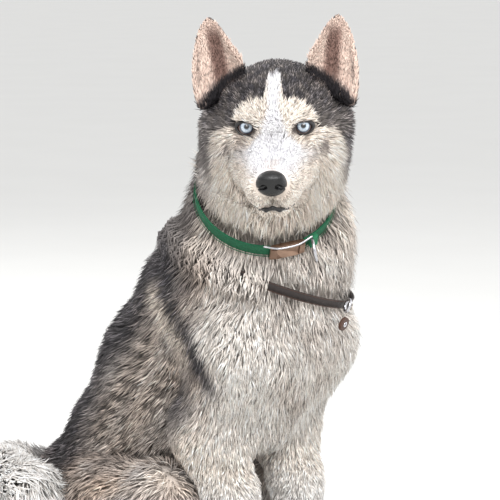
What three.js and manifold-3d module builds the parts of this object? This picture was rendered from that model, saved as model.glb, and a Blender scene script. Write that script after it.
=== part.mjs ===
// A Siberian husky, life size, sitting with its head turned to its right.
// Millimetres, +Z up. The chest faces -Y and the dog's left side is +X.
// Every form of flesh is a distance field of limbs and eggs that blend into each other.
// A grid finds the surface of a field, and plane cuts part the whole body into its pieces.
import * as THREE from "three";
import { mergeVertices } from "three/addons/utils/BufferGeometryUtils.js";
import Module from "manifold-3d";

const wasm = await Module();
wasm.setup();

const at = (x, y, z) => new THREE.Vector3(x, y, z);
const rad = THREE.MathUtils.degToRad;
const mix = THREE.MathUtils.lerp;
const clamp = THREE.MathUtils.clamp;

// Driving dimensions
const GAP = 0.3; // what touching pieces keep between them
const EYE_HEIGHT = 690;
const HEAD_YAW = -49; // degrees about Z, from facing -Y
const HEAD_PITCH = 12; // degrees that the muzzle points down
const HEAD_ROLL = 1.5;
const EYE_RADIUS = 11.5;
const EYE_APART = 34; // from the midline to the middle of an eye
const EYE_SLANT = 14; // degrees that the outer corner of the lids lies higher
const LID_WIDTH = 22; // the opening between the lids
const LID_HEIGHT = 14.5;
const LID_THICKNESS = 2.6;
const NOSE_HALF = at(18.5, 13, 15.5); // half sizes of the nose pad
const STRAP_WIDTH = 20;
const STRAP_THICKNESS = 4;
const SLIP_WIDTH = 12;
const SLIP_THICKNESS = 4;
const GRID = { head: 13, neck: 21, body: 26, foreLeg: 18, hindLeg: 23, foot: 12, tail: 22 };

// The skeleton, right half mirrored from the left. Heights are above the floor.
const bones = {
  neckBase: at(2, 56, 470),
  neckMid: at(-2, 20, 548),
  neckTop: at(-24, -14, 612),
  nape: at(-44, -40, 662),
  chestTop: at(0, 88, 436),
  ribs: at(0, 170, 345),
  loin: at(0, 255, 232),
  pelvis: at(0, 322, 158),
  rump: at(0, 352, 108),
  breast: at(0, 6, 398),
  brisket: at(0, 44, 325),
  belly: at(0, 180, 290),
  bladeTop: at(42, 116, 458),
  shoulder: at(66, 0, 402),
  elbow: at(66, 54, 288),
  forearm: at(59, 22, 215),
  carpus: at(55, 2, 125),
  pastern: at(55, -14, 60),
  forePaw: at(56, -34, 27),
  hip: at(52, 318, 158),
  thigh: at(82, 222, 178),
  knee: at(93, 108, 198),
  ham: at(66, 346, 72),
  hock: at(94, 290, 52),
  footBack: at(100, 220, 32),
  hindPaw: at(108, 130, 27),
};

// Places on the head are written in its own frame: origin midway between the eyes, -Y out of the muzzle
const midEye = at(-92, -88, EYE_HEIGHT);
const headTurn = new THREE.Matrix4()
  .makeRotationZ(rad(HEAD_YAW))
  .multiply(new THREE.Matrix4().makeRotationX(rad(HEAD_PITCH)))
  .multiply(new THREE.Matrix4().makeRotationY(rad(-HEAD_ROLL)));
const headFrame = headTurn.clone().setPosition(midEye);
const headFrameBack = headFrame.clone().invert();

// Fields: each takes a point and gives its distance from a surface, less than zero inside
const limb = (a, b, ra, rb) => {
  const bar = b.clone().sub(a);
  const length2 = bar.lengthSq();
  return (p) => {
    const t = clamp(((p.x - a.x) * bar.x + (p.y - a.y) * bar.y + (p.z - a.z) * bar.z) / length2, 0, 1);
    const dx = p.x - a.x - bar.x * t;
    const dy = p.y - a.y - bar.y * t;
    const dz = p.z - a.z - bar.z * t;
    return Math.hypot(dx, dy, dz) - mix(ra, rb, t);
  };
};
const egg = (c, rx, ry, rz) => (p) => {
  const x = (p.x - c.x) / rx;
  const y = (p.y - c.y) / ry;
  const z = (p.z - c.z) / rz;
  const near = Math.hypot(x, y, z);
  const slope = Math.hypot(x / rx, y / ry, z / rz);
  return slope < 1e-9 ? -Math.min(rx, ry, rz) : (near * (near - 1)) / slope;
};
const soften = (d, e, k) => {
  const h = Math.max(k - Math.abs(d - e), 0) / k;
  return Math.min(d, e) - (h * h * k) / 4;
};
const blend =
  (k, first, ...others) =>
  (p) =>
    others.reduce((d, field) => soften(d, field(p), k), first(p));
const join = (...fields) => (p) => Math.min(...fields.map((field) => field(p)));
const dig = (k, field, tool) => (p) => -soften(-field(p), tool(p), k);
const below = (field, plane) => (p) => Math.max(field(p), plane.distanceToPoint(p));
const bothSides = (field) => (p) => field(at(Math.abs(p.x), p.y, p.z));
const inHead = (field) => (p) => field(p.clone().applyMatrix4(headFrameBack));
const chain = (k, points, radii) =>
  blend(k, ...points.slice(1).map((b, i) => limb(points[i], b, radii[i], radii[i + 1])));

const b = bones;
const trunkField = bothSides(
  blend(
    40,
    chain(30, [b.chestTop, b.ribs, b.loin, b.pelvis, b.rump], [110, 106, 92, 84, 78]),
    limb(b.breast, b.brisket, 80, 72),
    limb(b.bladeTop, b.shoulder, 54, 52),
    limb(b.shoulder, b.elbow, 50, 42),
    limb(b.belly, b.loin, 84, 80),
  ),
);
const neckField = blend(
  40,
  chain(40, [b.neckBase, b.neckMid, b.neckTop, b.nape], [104, 96, 86, 74]),
  limb(at(16, -4, 470), at(6, -20, 540), 80, 76),
);
const skullField = bothSides(
  blend(
    16,
    egg(at(0, 55, 12), 64, 66, 51),
    egg(at(0, 14, 16), 48, 38, 34),
    limb(at(33, 6, 17), at(42, 30, 24), 14, 22),
    limb(at(46, 14, -18), at(64, 55, -12), 17, 24),
    egg(at(44, 46, -36), 34, 42, 38),
    egg(at(0, 60, -45), 50, 52, 38),
    limb(at(10, 8, -26), at(9, -84, -41), 27, 18),
    limb(at(27, -14, -50), at(17, -78, -56), 20, 16),
    limb(at(12, 10, -76), at(8, -74, -78), 18, 12),
  ),
);
const headField = inHead(skullField);
const foreLegField = bothSides(chain(20, [b.elbow, b.forearm, b.carpus, b.pastern], [46, 34, 28, 26]));
const hindLegField = bothSides(
  blend(
    36,
    chain(30, [b.hip, b.thigh, b.knee], [68, 59, 50]),
    limb(b.knee, b.hock, 44, 27),
    limb(b.hip, b.ham, 66, 68),
    limb(b.ham, b.thigh, 62, 56),
  ),
);
const toeAngles = [-1.5, -0.5, 0.5, 1.5];
const toeReach = (n) => (Math.abs(n) > 1 ? 30 : 40);
const toes = (paw, ahead, spread) =>
  toeAngles.map((n) => {
    const reach = toeReach(n);
    const root = paw.clone().add(at(n * spread * 0.7, -6, -4));
    const tip = paw.clone().add(at(n * spread + ahead.x * reach, ahead.y * reach, -12));
    return limb(root, tip, 13, 11);
  });
const foreFootField = bothSides(
  blend(
    5,
    blend(16, limb(b.pastern, b.forePaw, 26, 27), limb(b.forePaw, at(56, -8, 20), 24, 20)),
    ...toes(b.forePaw, at(0.04, -1, 0), 16),
  ),
);
const hindFootField = bothSides(
  blend(
    5,
    chain(18, [b.hock, b.footBack, b.hindPaw], [28, 24, 26]),
    ...toes(b.hindPaw, at(0.12, -1, 0), 15),
  ),
);

// A collar presses a furrow into the coat of the neck's front, and the coat covers it at the back
const furrow = (centre, front, normal, radius, depth) => {
  const u = front.clone().sub(centre).normalize();
  return (p) => {
    const from = p.clone().sub(centre);
    const up = from.dot(normal);
    from.addScaledVector(normal, -up);
    const ahead = clamp(from.dot(u) / Math.max(from.length(), 1) + 0.35, 0, 1);
    return Math.hypot(up, from.length() - radius - depth) - depth * Math.sqrt(ahead);
  };
};
const COLLAR = {
  centre: at(-36, -16, 596),
  front: at(-70, -57, 543),
  normal: at(-0.455, -0.542, 0.707).normalize(),
};
const SLIP = {
  centre: at(9.5, 33, 497),
  front: at(-48, -60, 484),
  normal: at(0.225, -0.275, 0.92).normalize(),
};
const COLLAR_RADIUS = 84;
const SLIP_RADIUS = 119;
// The tail rises behind the rump, curls forward over the right hip and comes down to the floor
const TAIL_PATH = [
  at(0, 376, 118), at(-12, 432, 158), at(-72, 434, 178), at(-138, 374, 190), at(-161, 288, 192),
  at(-178, 238, 142),
  at(-184, 212, 80), at(-187, 182, 17),
];
const TAIL_RADII = [34, 40, 42, 41, 40, 38, 33, 19];
const tailField = chain(14, TAIL_PATH, TAIL_RADII);
const tailCut = { point: at(-10, 426, 162), normal: at(-0.25, 0.75, 0.61).normalize() };
const coreField = dig(
  14,
  blend(45, trunkField, neckField),
  join(
    furrow(COLLAR.centre, COLLAR.front, COLLAR.normal, COLLAR_RADIUS, 20),
    furrow(SLIP.centre, at(80, -60, 500), SLIP.normal, SLIP_RADIUS, 11),
  ),
);
const upperField = blend(40, coreField, headField);
const bodyField = join(blend(34, upperField, foreLegField), blend(30, coreField, hindLegField));
const tailRootField = limb(TAIL_PATH[0], TAIL_PATH[1], TAIL_RADII[0], TAIL_RADII[1]);

// The surface where a field is zero: a point in each grid cell that the surface crosses, moved onto it
function skinOf(field, low, high, step) {
  const count = ["x", "y", "z"].map((axis) => Math.ceil((high[axis] - low[axis]) / step) + 1);
  const strides = [1, count[0], count[0] * count[1]];
  const corner = (index) => at(low.x + index[0] * step, low.y + index[1] * step, low.z + index[2] * step);
  const idOf = (index) => index[0] * strides[0] + index[1] * strides[1] + index[2] * strides[2];
  const values = new Float64Array(count[0] * count[1] * count[2]);
  const everyIndex = function* (last) {
    for (let k = 0; k < last[2]; k++) {
      for (let j = 0; j < last[1]; j++) {
        for (let i = 0; i < last[0]; i++) yield [i, j, k];
      }
    }
  };
  const onEdge = (index) => index.some((n, axis) => n === 0 || n === count[axis] - 1);
  for (const index of everyIndex(count)) {
    const found = field(corner(index));
    values[idOf(index)] = onEdge(index) ? Math.max(found, step / 2) : found;
  }
  const settle = (p, cell) => {
    const nudge = step / 40;
    for (let n = 0; n < 4; n++) {
      const d = field(p);
      const slope = at(
        field(at(p.x + nudge, p.y, p.z)) - d,
        field(at(p.x, p.y + nudge, p.z)) - d,
        field(at(p.x, p.y, p.z + nudge)) - d,
      ).divideScalar(nudge);
      p.addScaledVector(slope, -d / Math.max(slope.lengthSq(), 0.1));
      p.clamp(cell.clone().addScalar(step * 0.04), cell.clone().addScalar(step * 0.96));
    }
    return p;
  };
  const positions = [];
  const pointOf = new Map();
  for (const index of everyIndex(count.map((n) => n - 1))) {
    const ends = Array.from({ length: 8 }, (_, n) => [n & 1, (n >> 1) & 1, (n >> 2) & 1]);
    const found = ends.map((e) => values[idOf(index) + idOf(e)]);
    const cut = ends.some((e) => onEdge(index.map((v, axis) => v + e[axis])));
    if (found.every((v) => v < 0) || found.every((v) => v >= 0)) continue;
    const sum = at(0, 0, 0);
    let crossings = 0;
    for (let n = 0; n < 8; n++) {
      for (const bit of [1, 2, 4]) {
        if (n & bit || found[n] < 0 === found[n | bit] < 0) continue;
        const share = found[n] / (found[n] - found[n | bit]);
        const [from, to] = [ends[n], ends[n | bit]].map((e) => corner(index.map((v, axis) => v + e[axis])));
        sum.add(from.lerp(to, share));
        crossings++;
      }
    }
    pointOf.set(idOf(index), positions.length / 3);
    sum.divideScalar(crossings);
    positions.push(...(cut ? sum : settle(sum, corner(index))).toArray());
  }
  const spot = (n) => at(...positions.slice(n * 3, n * 3 + 3));
  const faces = [];
  for (const index of everyIndex(count.map((n) => n - 1))) {
    const id = idOf(index);
    for (let axis = 0; axis < 3; axis++) {
      const inside = values[id] < 0;
      if (inside === values[id + strides[axis]] < 0) continue;
      const [s, t] = [strides[(axis + 1) % 3], strides[(axis + 2) % 3]];
      const quad = [id - s - t, id - t, id, id - s].map((cell) => pointOf.get(cell));
      if (!inside) quad.reverse();
      const [p, q, r, u] = quad.map(spot);
      const order = p.distanceTo(r) < q.distanceTo(u) ? [0, 1, 2, 0, 2, 3] : [0, 1, 3, 1, 2, 3];
      faces.push(...order.map((n) => quad[n]));
    }
  }
  return new THREE.BufferGeometry()
    .setAttribute("position", new THREE.Float32BufferAttribute(positions, 3))
    .setIndex(faces);
}

function solid(geometry) {
  const bare = new THREE.BufferGeometry().setAttribute("position", geometry.getAttribute("position"));
  if (geometry.index) bare.setIndex(geometry.index);
  const merged = mergeVertices(bare, 1e-3);
  const make = (triVerts) =>
    new wasm.Manifold(
      new wasm.Mesh({
        numProp: 3,
        vertProperties: new Float32Array(merged.attributes.position.array),
        triVerts,
      }),
    );
  const triVerts = new Uint32Array(merged.index.array);
  const made = make(triVerts);
  return made.volume() > 0 ? made : make(triVerts.map((_, i) => triVerts[i - (i % 3) + 2 - (i % 3)]));
}

// A solid's triangles, without the slivers that a cut leaves: points closer than this become one
const SLIVER = 0.02;
function geometryOf(made) {
  const mesh = made.getMesh();
  const merged = mergeVertices(
    new THREE.BufferGeometry()
      .setAttribute("position", new THREE.BufferAttribute(new Float32Array(mesh.vertProperties), 3))
      .setIndex(new THREE.BufferAttribute(new Uint32Array(mesh.triVerts), 1)),
    SLIVER,
  );
  const corners = Array.from(merged.index.array);
  const faces = corners.map((_, i) => corners.slice(i, i + 3)).filter((_, i) => i % 3 === 0);
  const whole = faces.filter(([p, q, r]) => p !== q && q !== r && r !== p);
  return merged.setIndex(parted(whole, merged.attributes.position).flat());
}

// Where four faces meet on one edge, the two that are most nearly level swap their shared side
function parted(faces, positions) {
  const spot = (n) => new THREE.Vector3().fromBufferAttribute(positions, n);
  const normalOf = (face) => new THREE.Triangle(...face.map(spot)).getNormal(at(0, 0, 0));
  const uses = new Map();
  faces.forEach((face, f) => {
    face.forEach((from, n) => {
      const to = face[(n + 1) % 3];
      const key = `${Math.min(from, to)} ${Math.max(from, to)}`;
      const use = { f, from, to, third: face[(n + 2) % 3] };
      uses.set(key, [...(uses.get(key) ?? []), use]);
    });
  });
  for (const shared of uses.values()) {
    if (shared.length < 4) continue;
    const ups = shared.filter((use) => use.from < use.to);
    const downs = shared.filter((use) => use.from > use.to);
    const pairs = ups.flatMap((up) => downs.map((down) => ({ up, down })));
    const level = ({ up, down }) => normalOf(faces[up.f]).dot(normalOf(faces[down.f]));
    const { up, down } = pairs.reduce((best, pair) => (level(pair) > level(best) ? pair : best));
    faces[up.f] = [up.from, down.third, up.third];
    faces[down.f] = [up.to, up.third, down.third];
  }
  return faces;
}

// The largest closed surface that a solid has
const largestOf = (made) => made.decompose().reduce((a, c) => (c.volume() > a.volume() ? c : a));

// A box from its low to its high corner, grown all round, in a frame of its own if one is given
function block(low, high, grow = 0, frame = new THREE.Matrix4()) {
  const size = high.clone().sub(low).addScalar(2 * grow);
  const centre = low.clone().add(high).multiplyScalar(0.5);
  const box = new THREE.BoxGeometry(size.x, size.y, size.z).translate(centre.x, centre.y, centre.z);
  return solid(box.applyMatrix4(frame));
}

// The half of space on a plane's far side, as a large box that starts at the plane
const FAR = 900;
function half(point, normal, lift = 0) {
  const turn = new THREE.Quaternion().setFromUnitVectors(at(0, 0, 1), normal);
  const frame = new THREE.Matrix4().compose(point, turn, at(1, 1, 1));
  return block(at(-FAR, -FAR, lift), at(FAR, FAR, lift + 2 * FAR), 0, frame);
}

// A closed surface from rings of points, with a middle point at each end
function closeRings(rings) {
  const middleOf = (ring) => ring.reduce((sum, p) => sum.add(p), at(0, 0, 0)).multiplyScalar(1 / ring.length);
  const count = rings[0].length;
  const points = [middleOf(rings[0]), ...rings.flat(), middleOf(rings.at(-1))];
  const index = [];
  const end = points.length - 1;
  for (let i = 0; i < count; i++) {
    const j = (i + 1) % count;
    index.push(0, 1 + j, 1 + i);
    for (let r = 0; r + 1 < rings.length; r++) {
      const low = 1 + r * count;
      const high = low + count;
      index.push(low + i, low + j, high + j, low + i, high + j, high + i);
    }
    index.push(end, end - count + i, end - count + j);
  }
  return solid(
    new THREE.BufferGeometry().setAttribute(
      "position",
      new THREE.Float32BufferAttribute(points.flatMap((p) => p.toArray()), 3),
    ).setIndex(index),
  );
}

// A band that closes on itself: one ring of corners for each step round it
function closeBand(rings) {
  const count = rings[0].length;
  const index = [];
  for (let r = 0; r < rings.length; r++) {
    const [low, high] = [r * count, ((r + 1) % rings.length) * count];
    for (let i = 0; i < count; i++) {
      const j = (i + 1) % count;
      index.push(low + i, low + j, high + j, low + i, high + j, high + i);
    }
  }
  return solid(
    new THREE.BufferGeometry().setAttribute(
      "position",
      new THREE.Float32BufferAttribute(rings.flat().flatMap((p) => p.toArray()), 3),
    ).setIndex(index),
  );
}

// A rounded tube through points: radii go with the points, and both ends are round
function tube(points, radii, sides, steps, grow = 0) {
  const curve = new THREE.CatmullRomCurve3(points, false, "centripetal");
  const frames = curve.computeFrenetFrames(steps, false);
  const rings = Array.from({ length: steps + 1 }, (_, n) => {
    const t = n / steps;
    const where = curve.getUtoTmapping(t) * (points.length - 1);
    const i = Math.min(Math.floor(where), points.length - 2);
    const radius = mix(radii[i], radii[i + 1], where - i) + grow;
    const centre = curve.getPointAt(t);
    const [normal, side, ahead] = [frames.normals[n], frames.binormals[n], frames.tangents[n]];
    return { centre, radius, normal, side, ahead };
  });
  const ringAt = ({ centre, radius, normal, side, ahead }, lean) =>
    Array.from({ length: sides }, (_, i) => {
      const turn = (2 * Math.PI * i) / sides;
      return centre
        .clone()
        .addScaledVector(normal, Math.cos(turn) * radius * Math.cos(lean))
        .addScaledVector(side, Math.sin(turn) * radius * Math.cos(lean))
        .addScaledVector(ahead, radius * Math.sin(lean));
    });
  const leans = [rad(75), rad(45)];
  return closeRings([
    ...leans.map((lean) => ringAt(rings[0], -lean)),
    ...rings.map((ring) => ringAt(ring, 0)),
    ...leans.reverse().map((lean) => ringAt(rings.at(-1), lean)),
  ]);
}

// Where the body is parted: each plane's normal points to the piece further from the rump
const headCut = { point: at(-35, -30, 637), normal: at(-0.455, -0.542, 0.707).normalize() };
const neckCut = { point: at(0, 40, 448), normal: at(0, -0.5, 0.866).normalize() };
const planeOf = ({ point, normal }, lift) =>
  new THREE.Plane().setFromNormalAndCoplanarPoint(normal, point.clone().addScaledVector(normal, lift));
const SPARE = 30; // how far a skin reaches past the cut that trims it

// Eyes, and the lids round them, which are one with the head
const side = (name, x) => (name === "left" ? x : -x);
const eyeCentre = at(EYE_APART, -3, 0);
function onEye(name) {
  const place = new THREE.Matrix4().makeTranslation(side(name, eyeCentre.x), eyeCentre.y, eyeCentre.z);
  const look = new THREE.Matrix4().makeRotationZ(side(name, rad(9)));
  const slant = new THREE.Matrix4().makeRotationY(-side(name, rad(EYE_SLANT)));
  return headFrame.clone().multiply(place).multiply(look).multiply(slant);
}
function ball(frame, radii, grow = 0, columns = 12, rows = 8) {
  const sphere = new THREE.SphereGeometry(1, columns, rows).rotateX(Math.PI / 2);
  sphere.scale(radii.x + grow, radii.y + grow, radii.z + grow);
  return solid(sphere.applyMatrix4(frame));
}
const eyeBall = (name, grow) => ball(onEye(name), at(EYE_RADIUS, EYE_RADIUS, EYE_RADIUS), grow);
function lidOpening(name) {
  const shape = new THREE.Shape();
  const [w, h] = [LID_WIDTH / 2, LID_HEIGHT / 2];
  shape.moveTo(-w, 0);
  shape.bezierCurveTo(-w * 0.55, h * 1.3, w * 0.5, h * 1.35, w, 0);
  shape.bezierCurveTo(w * 0.5, -h * 1.25, -w * 0.5, -h * 1.25, -w, 0);
  const prism = new THREE.ExtrudeGeometry(shape, { depth: 40, bevelEnabled: false, curveSegments: 8 });
  return solid(prism.rotateX(Math.PI / 2).applyMatrix4(onEye(name)));
}
function lids(name) {
  const reach = EYE_RADIUS + LID_THICKNESS;
  return ball(onEye(name), at(reach + 1.5, reach, reach - 0.5));
}

// Nose pad with its two nostrils, and a notch in each wing
const noseAt = at(0, -96, -41);
const onNose = headFrame.clone().multiply(new THREE.Matrix4().makeTranslation(noseAt.x, noseAt.y, noseAt.z));
function nose(grow) {
  return ball(onNose, NOSE_HALF, grow, 14, 10);
}
function nostril(name) {
  const path = [at(side(name, 17), -9, -5), at(side(name, 10), -13.5, -3), at(side(name, 6.5), -9, 1)];
  return tube(path.map((p) => p.applyMatrix4(onNose)), [1.6, 3.2, 3.4], 6, 4);
}

// The line of the mouth: a thin wedge that runs from corner to corner round the muzzle
function mouthLine() {
  const half = [at(0, -99, -69), at(13, -93, -70), at(26, -72, -70), at(34, -44, -73), at(41, -14, -80)];
  const whole = [...half.slice(1).reverse().map((p) => at(-p.x, p.y, p.z)), ...half];
  const curve = new THREE.CatmullRomCurve3(whole, false, "centripetal");
  const inner = at(0, -40, -60);
  const rings = curve.getPoints(16).map((p) => {
    const inwards = inner.clone().sub(p).setZ(0).normalize();
    const outer = p.clone().addScaledVector(inwards, -14);
    const deep = p.clone().addScaledVector(inwards, 7);
    const tall = at(0, 0, 2.2);
    return [outer.clone().add(tall), outer.clone().sub(tall), deep].map((q) => q.applyMatrix4(headFrame));
  });
  return closeRings(rings);
}

// An ear is a cup that opens forwards: its sections are crescents that narrow to the tip.
// Grown, it is the filled outer form, which cuts the ear's seat in the head.
function ear(name, grow = 0) {
  const foot = at(68, 50, 34);
  const top = at(77.5, 38.5, 124);
  const wall = 6;
  const sections = [
    [-0.12, 34, 25], [0.05, 36, 25], [0.2, 35, 23], [0.4, 31, 20], [0.6, 24, 16], [0.78, 17.5, 12],
    [0.91, 10.5, 8],
    [0.985, 3.2, 4.5],
  ];
  const steps = 6;
  const flare = at(0.83, -0.12, -0.54).normalize();
  const rise = top.clone().sub(foot).normalize();
  const level = at(1, 0.12, 0).addScaledVector(rise, -rise.x).normalize();
  const rings = sections.map(([t, width, depth]) => {
    const across = flare.clone().lerp(level, clamp(t * 1.4, 0, 1)).normalize();
    const back = rise.clone().cross(across).normalize();
    const centre = foot.clone().lerp(top, t).addScaledVector(rise, t < 0 ? -grow : 0);
    const inner = Math.min(wall, width * 0.4);
    const arc = (w, d, way) =>
      Array.from({ length: steps + 1 }, (_, i) => {
        const turn = (Math.PI * (way > 0 ? i : steps - i)) / steps;
        return centre
          .clone()
          .addScaledVector(across, Math.cos(turn) * w)
          .addScaledVector(back, Math.sin(turn) * d - depth * 0.4);
      });
    const outside = arc(width + grow, depth + grow, 1);
    const hollow = t < 0 ? 1 : Math.max(depth - wall, 1.2) * clamp((t + 0.02) * 5, 0.12, 1);
    const inside = grow > 0 ? arc(width + grow, -1 - grow, -1) : arc(width - inner, hollow, -1);
    return [...outside, ...inside].map((p) => at(side(name, p.x), p.y, p.z).applyMatrix4(headFrame));
  });
  return closeRings(rings);
}

// The head: lids, then eyes, nose, ears and the mouth's line are cut in
const headSkin = solid(
  skinOf(
    below(upperField, planeOf(headCut, -SPARE).negate()),
    at(-230, -240, 540),
    at(90, 90, 800),
    GRID.head,
  ),
);
function makeHead() {
  let made = headSkin.intersect(half(headCut.point, headCut.normal, GAP / 2));
  for (const name of ["left", "right"]) made = made.add(lids(name));
  for (const name of ["left", "right"]) {
    made = made.subtract(lidOpening(name)).subtract(eyeBall(name, GAP)).subtract(ear(name, 2 * GAP));
  }
  return largestOf(made.subtract(nose(GAP)).subtract(mouthLine()));
}

// Worn things lie round the neck on a circle: u points to its front and w to the dog's left
function hoop({ centre, front, normal }, radius) {
  const u = front.clone().sub(centre);
  u.addScaledVector(normal, -u.dot(normal)).normalize();
  const w = u.clone().cross(normal).normalize().negate();
  return (turn, out, up) =>
    centre
      .clone()
      .addScaledVector(u, Math.cos(rad(turn)) * (radius + out))
      .addScaledVector(w, Math.sin(rad(turn)) * (radius + out))
      .addScaledVector(normal, up);
}
const collarAt = hoop(COLLAR, COLLAR_RADIUS);
const slipAt = hoop(SLIP, SLIP_RADIUS);
function strap(place, width, thickness, steps, grow = 0) {
  const [out, up] = [thickness / 2 + grow, width / 2 + grow];
  const corners = [[out, -up], [out, up], [-out, up], [-out, -up]];
  return closeBand(
    Array.from({ length: steps }, (_, n) => corners.map(([o, u]) => place((360 * n) / steps, o, u))),
  );
}

const COLLAR_STEPS = 28;
const COLLAR_FRONT = 14; // degrees from the collar's front to the middle of the buckle
const RING_TURN = 32; // degrees round the collar, left of its front
const LOOP_TURN = RING_TURN + 5;
const collar = (grow) => strap(collarAt, STRAP_WIDTH, STRAP_THICKNESS, COLLAR_STEPS, grow);
const slip = (grow) => strap(slipAt, SLIP_WIDTH, SLIP_THICKNESS, COLLAR_STEPS, grow);

// A plate on a strap: its outline is in millimetres along the strap and across it
function plate(place, middle, outline, [inner, outer], grow = 0) {
  const degrees = 180 / (Math.PI * (COLLAR_RADIUS + inner));
  const spread = (v) => v + Math.sign(v) * grow;
  const levels = [inner - grow, outer + grow];
  return closeRings(
    levels.map((out) =>
      outline.map(([along, up]) => place(middle + spread(along) * degrees, out, spread(up))),
    ),
  );
}
const BUCKLE = { long: 42, wide: 24, level: [2.6, 9] };
function buckle(grow) {
  const [l, w] = [BUCKLE.long / 2, BUCKLE.wide / 2];
  const outline = [
    [-l, -w], [-l * 0.55, -w], [-l * 0.3, -w * 0.82], [l * 0.3, -w * 0.82], [l * 0.55, -w], [l, -w],
    [l, w * 0.9], [l * 0.5, w], [-l * 0.5, w], [-l, w * 0.9],
  ];
  return plate(collarAt, COLLAR_FRONT, outline, BUCKLE.level, grow);
}

const WIRE_SIDES = 6;

// A ring of round wire: its centre, and the two directions that it lies in
function wireRing(centre, across, along, radii, wire) {
  const steps = 16;
  const thick = across.clone().cross(along).normalize();
  return closeBand(
    Array.from({ length: steps }, (_, n) => {
      const turn = (2 * Math.PI * n) / steps;
      const out = across.clone().multiplyScalar(Math.cos(turn)).addScaledVector(along, Math.sin(turn));
      const middle = centre
        .clone()
        .addScaledVector(across, Math.cos(turn) * radii[0])
        .addScaledVector(along, Math.sin(turn) * radii[1]);
      return Array.from({ length: WIRE_SIDES }, (_, i) => {
        const roll = (2 * Math.PI * i) / WIRE_SIDES;
        return middle
          .clone()
          .addScaledVector(out, Math.cos(roll) * wire)
          .addScaledVector(thick, Math.sin(roll) * wire);
      });
    }),
  );
}
const outAt = (place, turn) => place(turn, 1, 0).sub(place(turn, 0, 0));
const WIRE = 1.9;
const dRing = (grow) => {
  const hang = at(0.045, -0.237, -0.97).normalize();
  const across = at(-0.7, -0.7, 0.14).normalize();
  return wireRing(collarAt(RING_TURN, 18.2, 0), across, hang, [13, 14], WIRE + grow);
};
const ringLoop = (grow) => {
  const outline = [[-5, -9], [5, -9], [5, 9], [-5, 9]];
  return plate(collarAt, LOOP_TURN, outline, [2.6, 9.5], grow);
};

// Where the slip collar's two ends meet: a ring, and a round tab of leather with an eyelet
const SLIP_TURN = 44; // degrees round the slip collar, left of its front
const slipOut = outAt(slipAt, SLIP_TURN);
const slipUp = SLIP.normal;
const slipRing = (grow) => {
  const along = slipOut.clone().cross(slipUp).normalize();
  const across = slipOut.clone().lerp(along, 0.5).normalize();
  return wireRing(slipAt(SLIP_TURN, 12.5, 3), across, slipUp, [8, 8], WIRE + grow);
};
function disc(centre, normal, radius, thickness) {
  const turn = new THREE.Quaternion().setFromUnitVectors(at(0, 1, 0), normal);
  const frame = new THREE.Matrix4().compose(centre, turn, at(1, 1, 1));
  return solid(new THREE.CylinderGeometry(radius, radius, thickness, 16).applyMatrix4(frame));
}
const tabAt = slipAt(SLIP_TURN, 17, -20);
const TAB = { radius: 9, thickness: 4.5, eyelet: 3.6 };
const tabEyelet = (grow) => disc(tabAt, slipOut, TAB.eyelet + grow, TAB.thickness + 2 + 2 * grow);
const slipTab = (grow) => disc(tabAt, slipOut, TAB.radius + grow, TAB.thickness + 2 * grow);

const floor = half(at(0, 0, 0), at(0, 0, 1));

// Body: each piece is cut from the whole by planes and by the wedges that hold the legs
const onLeft = (name, low, high) =>
  name === "left" ? [low, high] : [at(-high.x, low.y, low.z), at(-low.x, high.y, high.z)];
const kneePlane = { point: at(80, 84, 240), normal: at(0.45, 0.85, -0.27).normalize() };
function kneeSide(name, way, grow) {
  const [point, normal] = [kneePlane.point, kneePlane.normal].map((v) => at(side(name, v.x), v.y, v.z));
  return half(point, normal.multiplyScalar(way), GAP / 2 - grow);
}
const THIGH_BLOCK = [at(0, 30, -60), at(180, 470, 262)];
const foreWedge = (name, grow) =>
  block(...onLeft(name, at(20, -160, -20), at(170, 150, 292)), grow).intersect(kneeSide(name, -1, grow));
const thighFrame = (name) =>
  new THREE.Matrix4().compose(
    at(side(name, 52), 0, 0),
    new THREE.Quaternion().setFromEuler(new THREE.Euler(0, side(name, rad(-6)), 0)),
    at(1, 1, 1),
  );
const thighWedge = (name, grow) =>
  block(...onLeft(name, ...THIGH_BLOCK), grow, thighFrame(name)).intersect(kneeSide(name, 1, grow));
const FORE_ANKLE = 62;
const hindFootBox = (name, grow) => block(...onLeft(name, at(60, 20, -60), at(190, 262, 60)), grow);

const neckSkin = solid(
  skinOf(
    below(below(coreField, planeOf(headCut, SPARE)), planeOf(neckCut, -SPARE).negate()),
    at(-170, -170, 330), at(160, 220, 730), GRID.neck,
  ),
);
const torsoSkin = solid(
  skinOf(
    below(join(bodyField, tailRootField), planeOf(neckCut, SPARE)),
    at(-230, -150, 90),
    at(230, 470, 560),
    GRID.body,
  ),
);
function makeNeck() {
  return largestOf(
    neckSkin
      .subtract(half(headCut.point, headCut.normal, -GAP / 2))
      .intersect(half(neckCut.point, neckCut.normal, GAP / 2))
      .subtract(collar(GAP))
      .subtract(buckle(GAP))
      .subtract(ringLoop(GAP))
      .subtract(dRing(GAP))
      .subtract(slip(GAP))
      .subtract(slipRing(GAP))
      .subtract(slipTab(GAP))
      .subtract(tabEyelet(GAP)),
  );
}
function makeTorso() {
  let made = torsoSkin.subtract(half(neckCut.point, neckCut.normal, -GAP / 2));
  for (const name of ["left", "right"]) {
    made = made.subtract(foreWedge(name, GAP)).subtract(thighWedge(name, GAP));
  }
  return largestOf(made.subtract(half(tailCut.point, tailCut.normal, -GAP / 2)).intersect(floor));
}
const TAIL_CLEAR = 3; // the hip makes room for the tail that lies on it
const tailSkin = (clear) =>
  solid(skinOf((p) => tailField(p) - clear, at(-250, 130, -30), at(60, 510, 290), GRID.tail));
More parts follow.
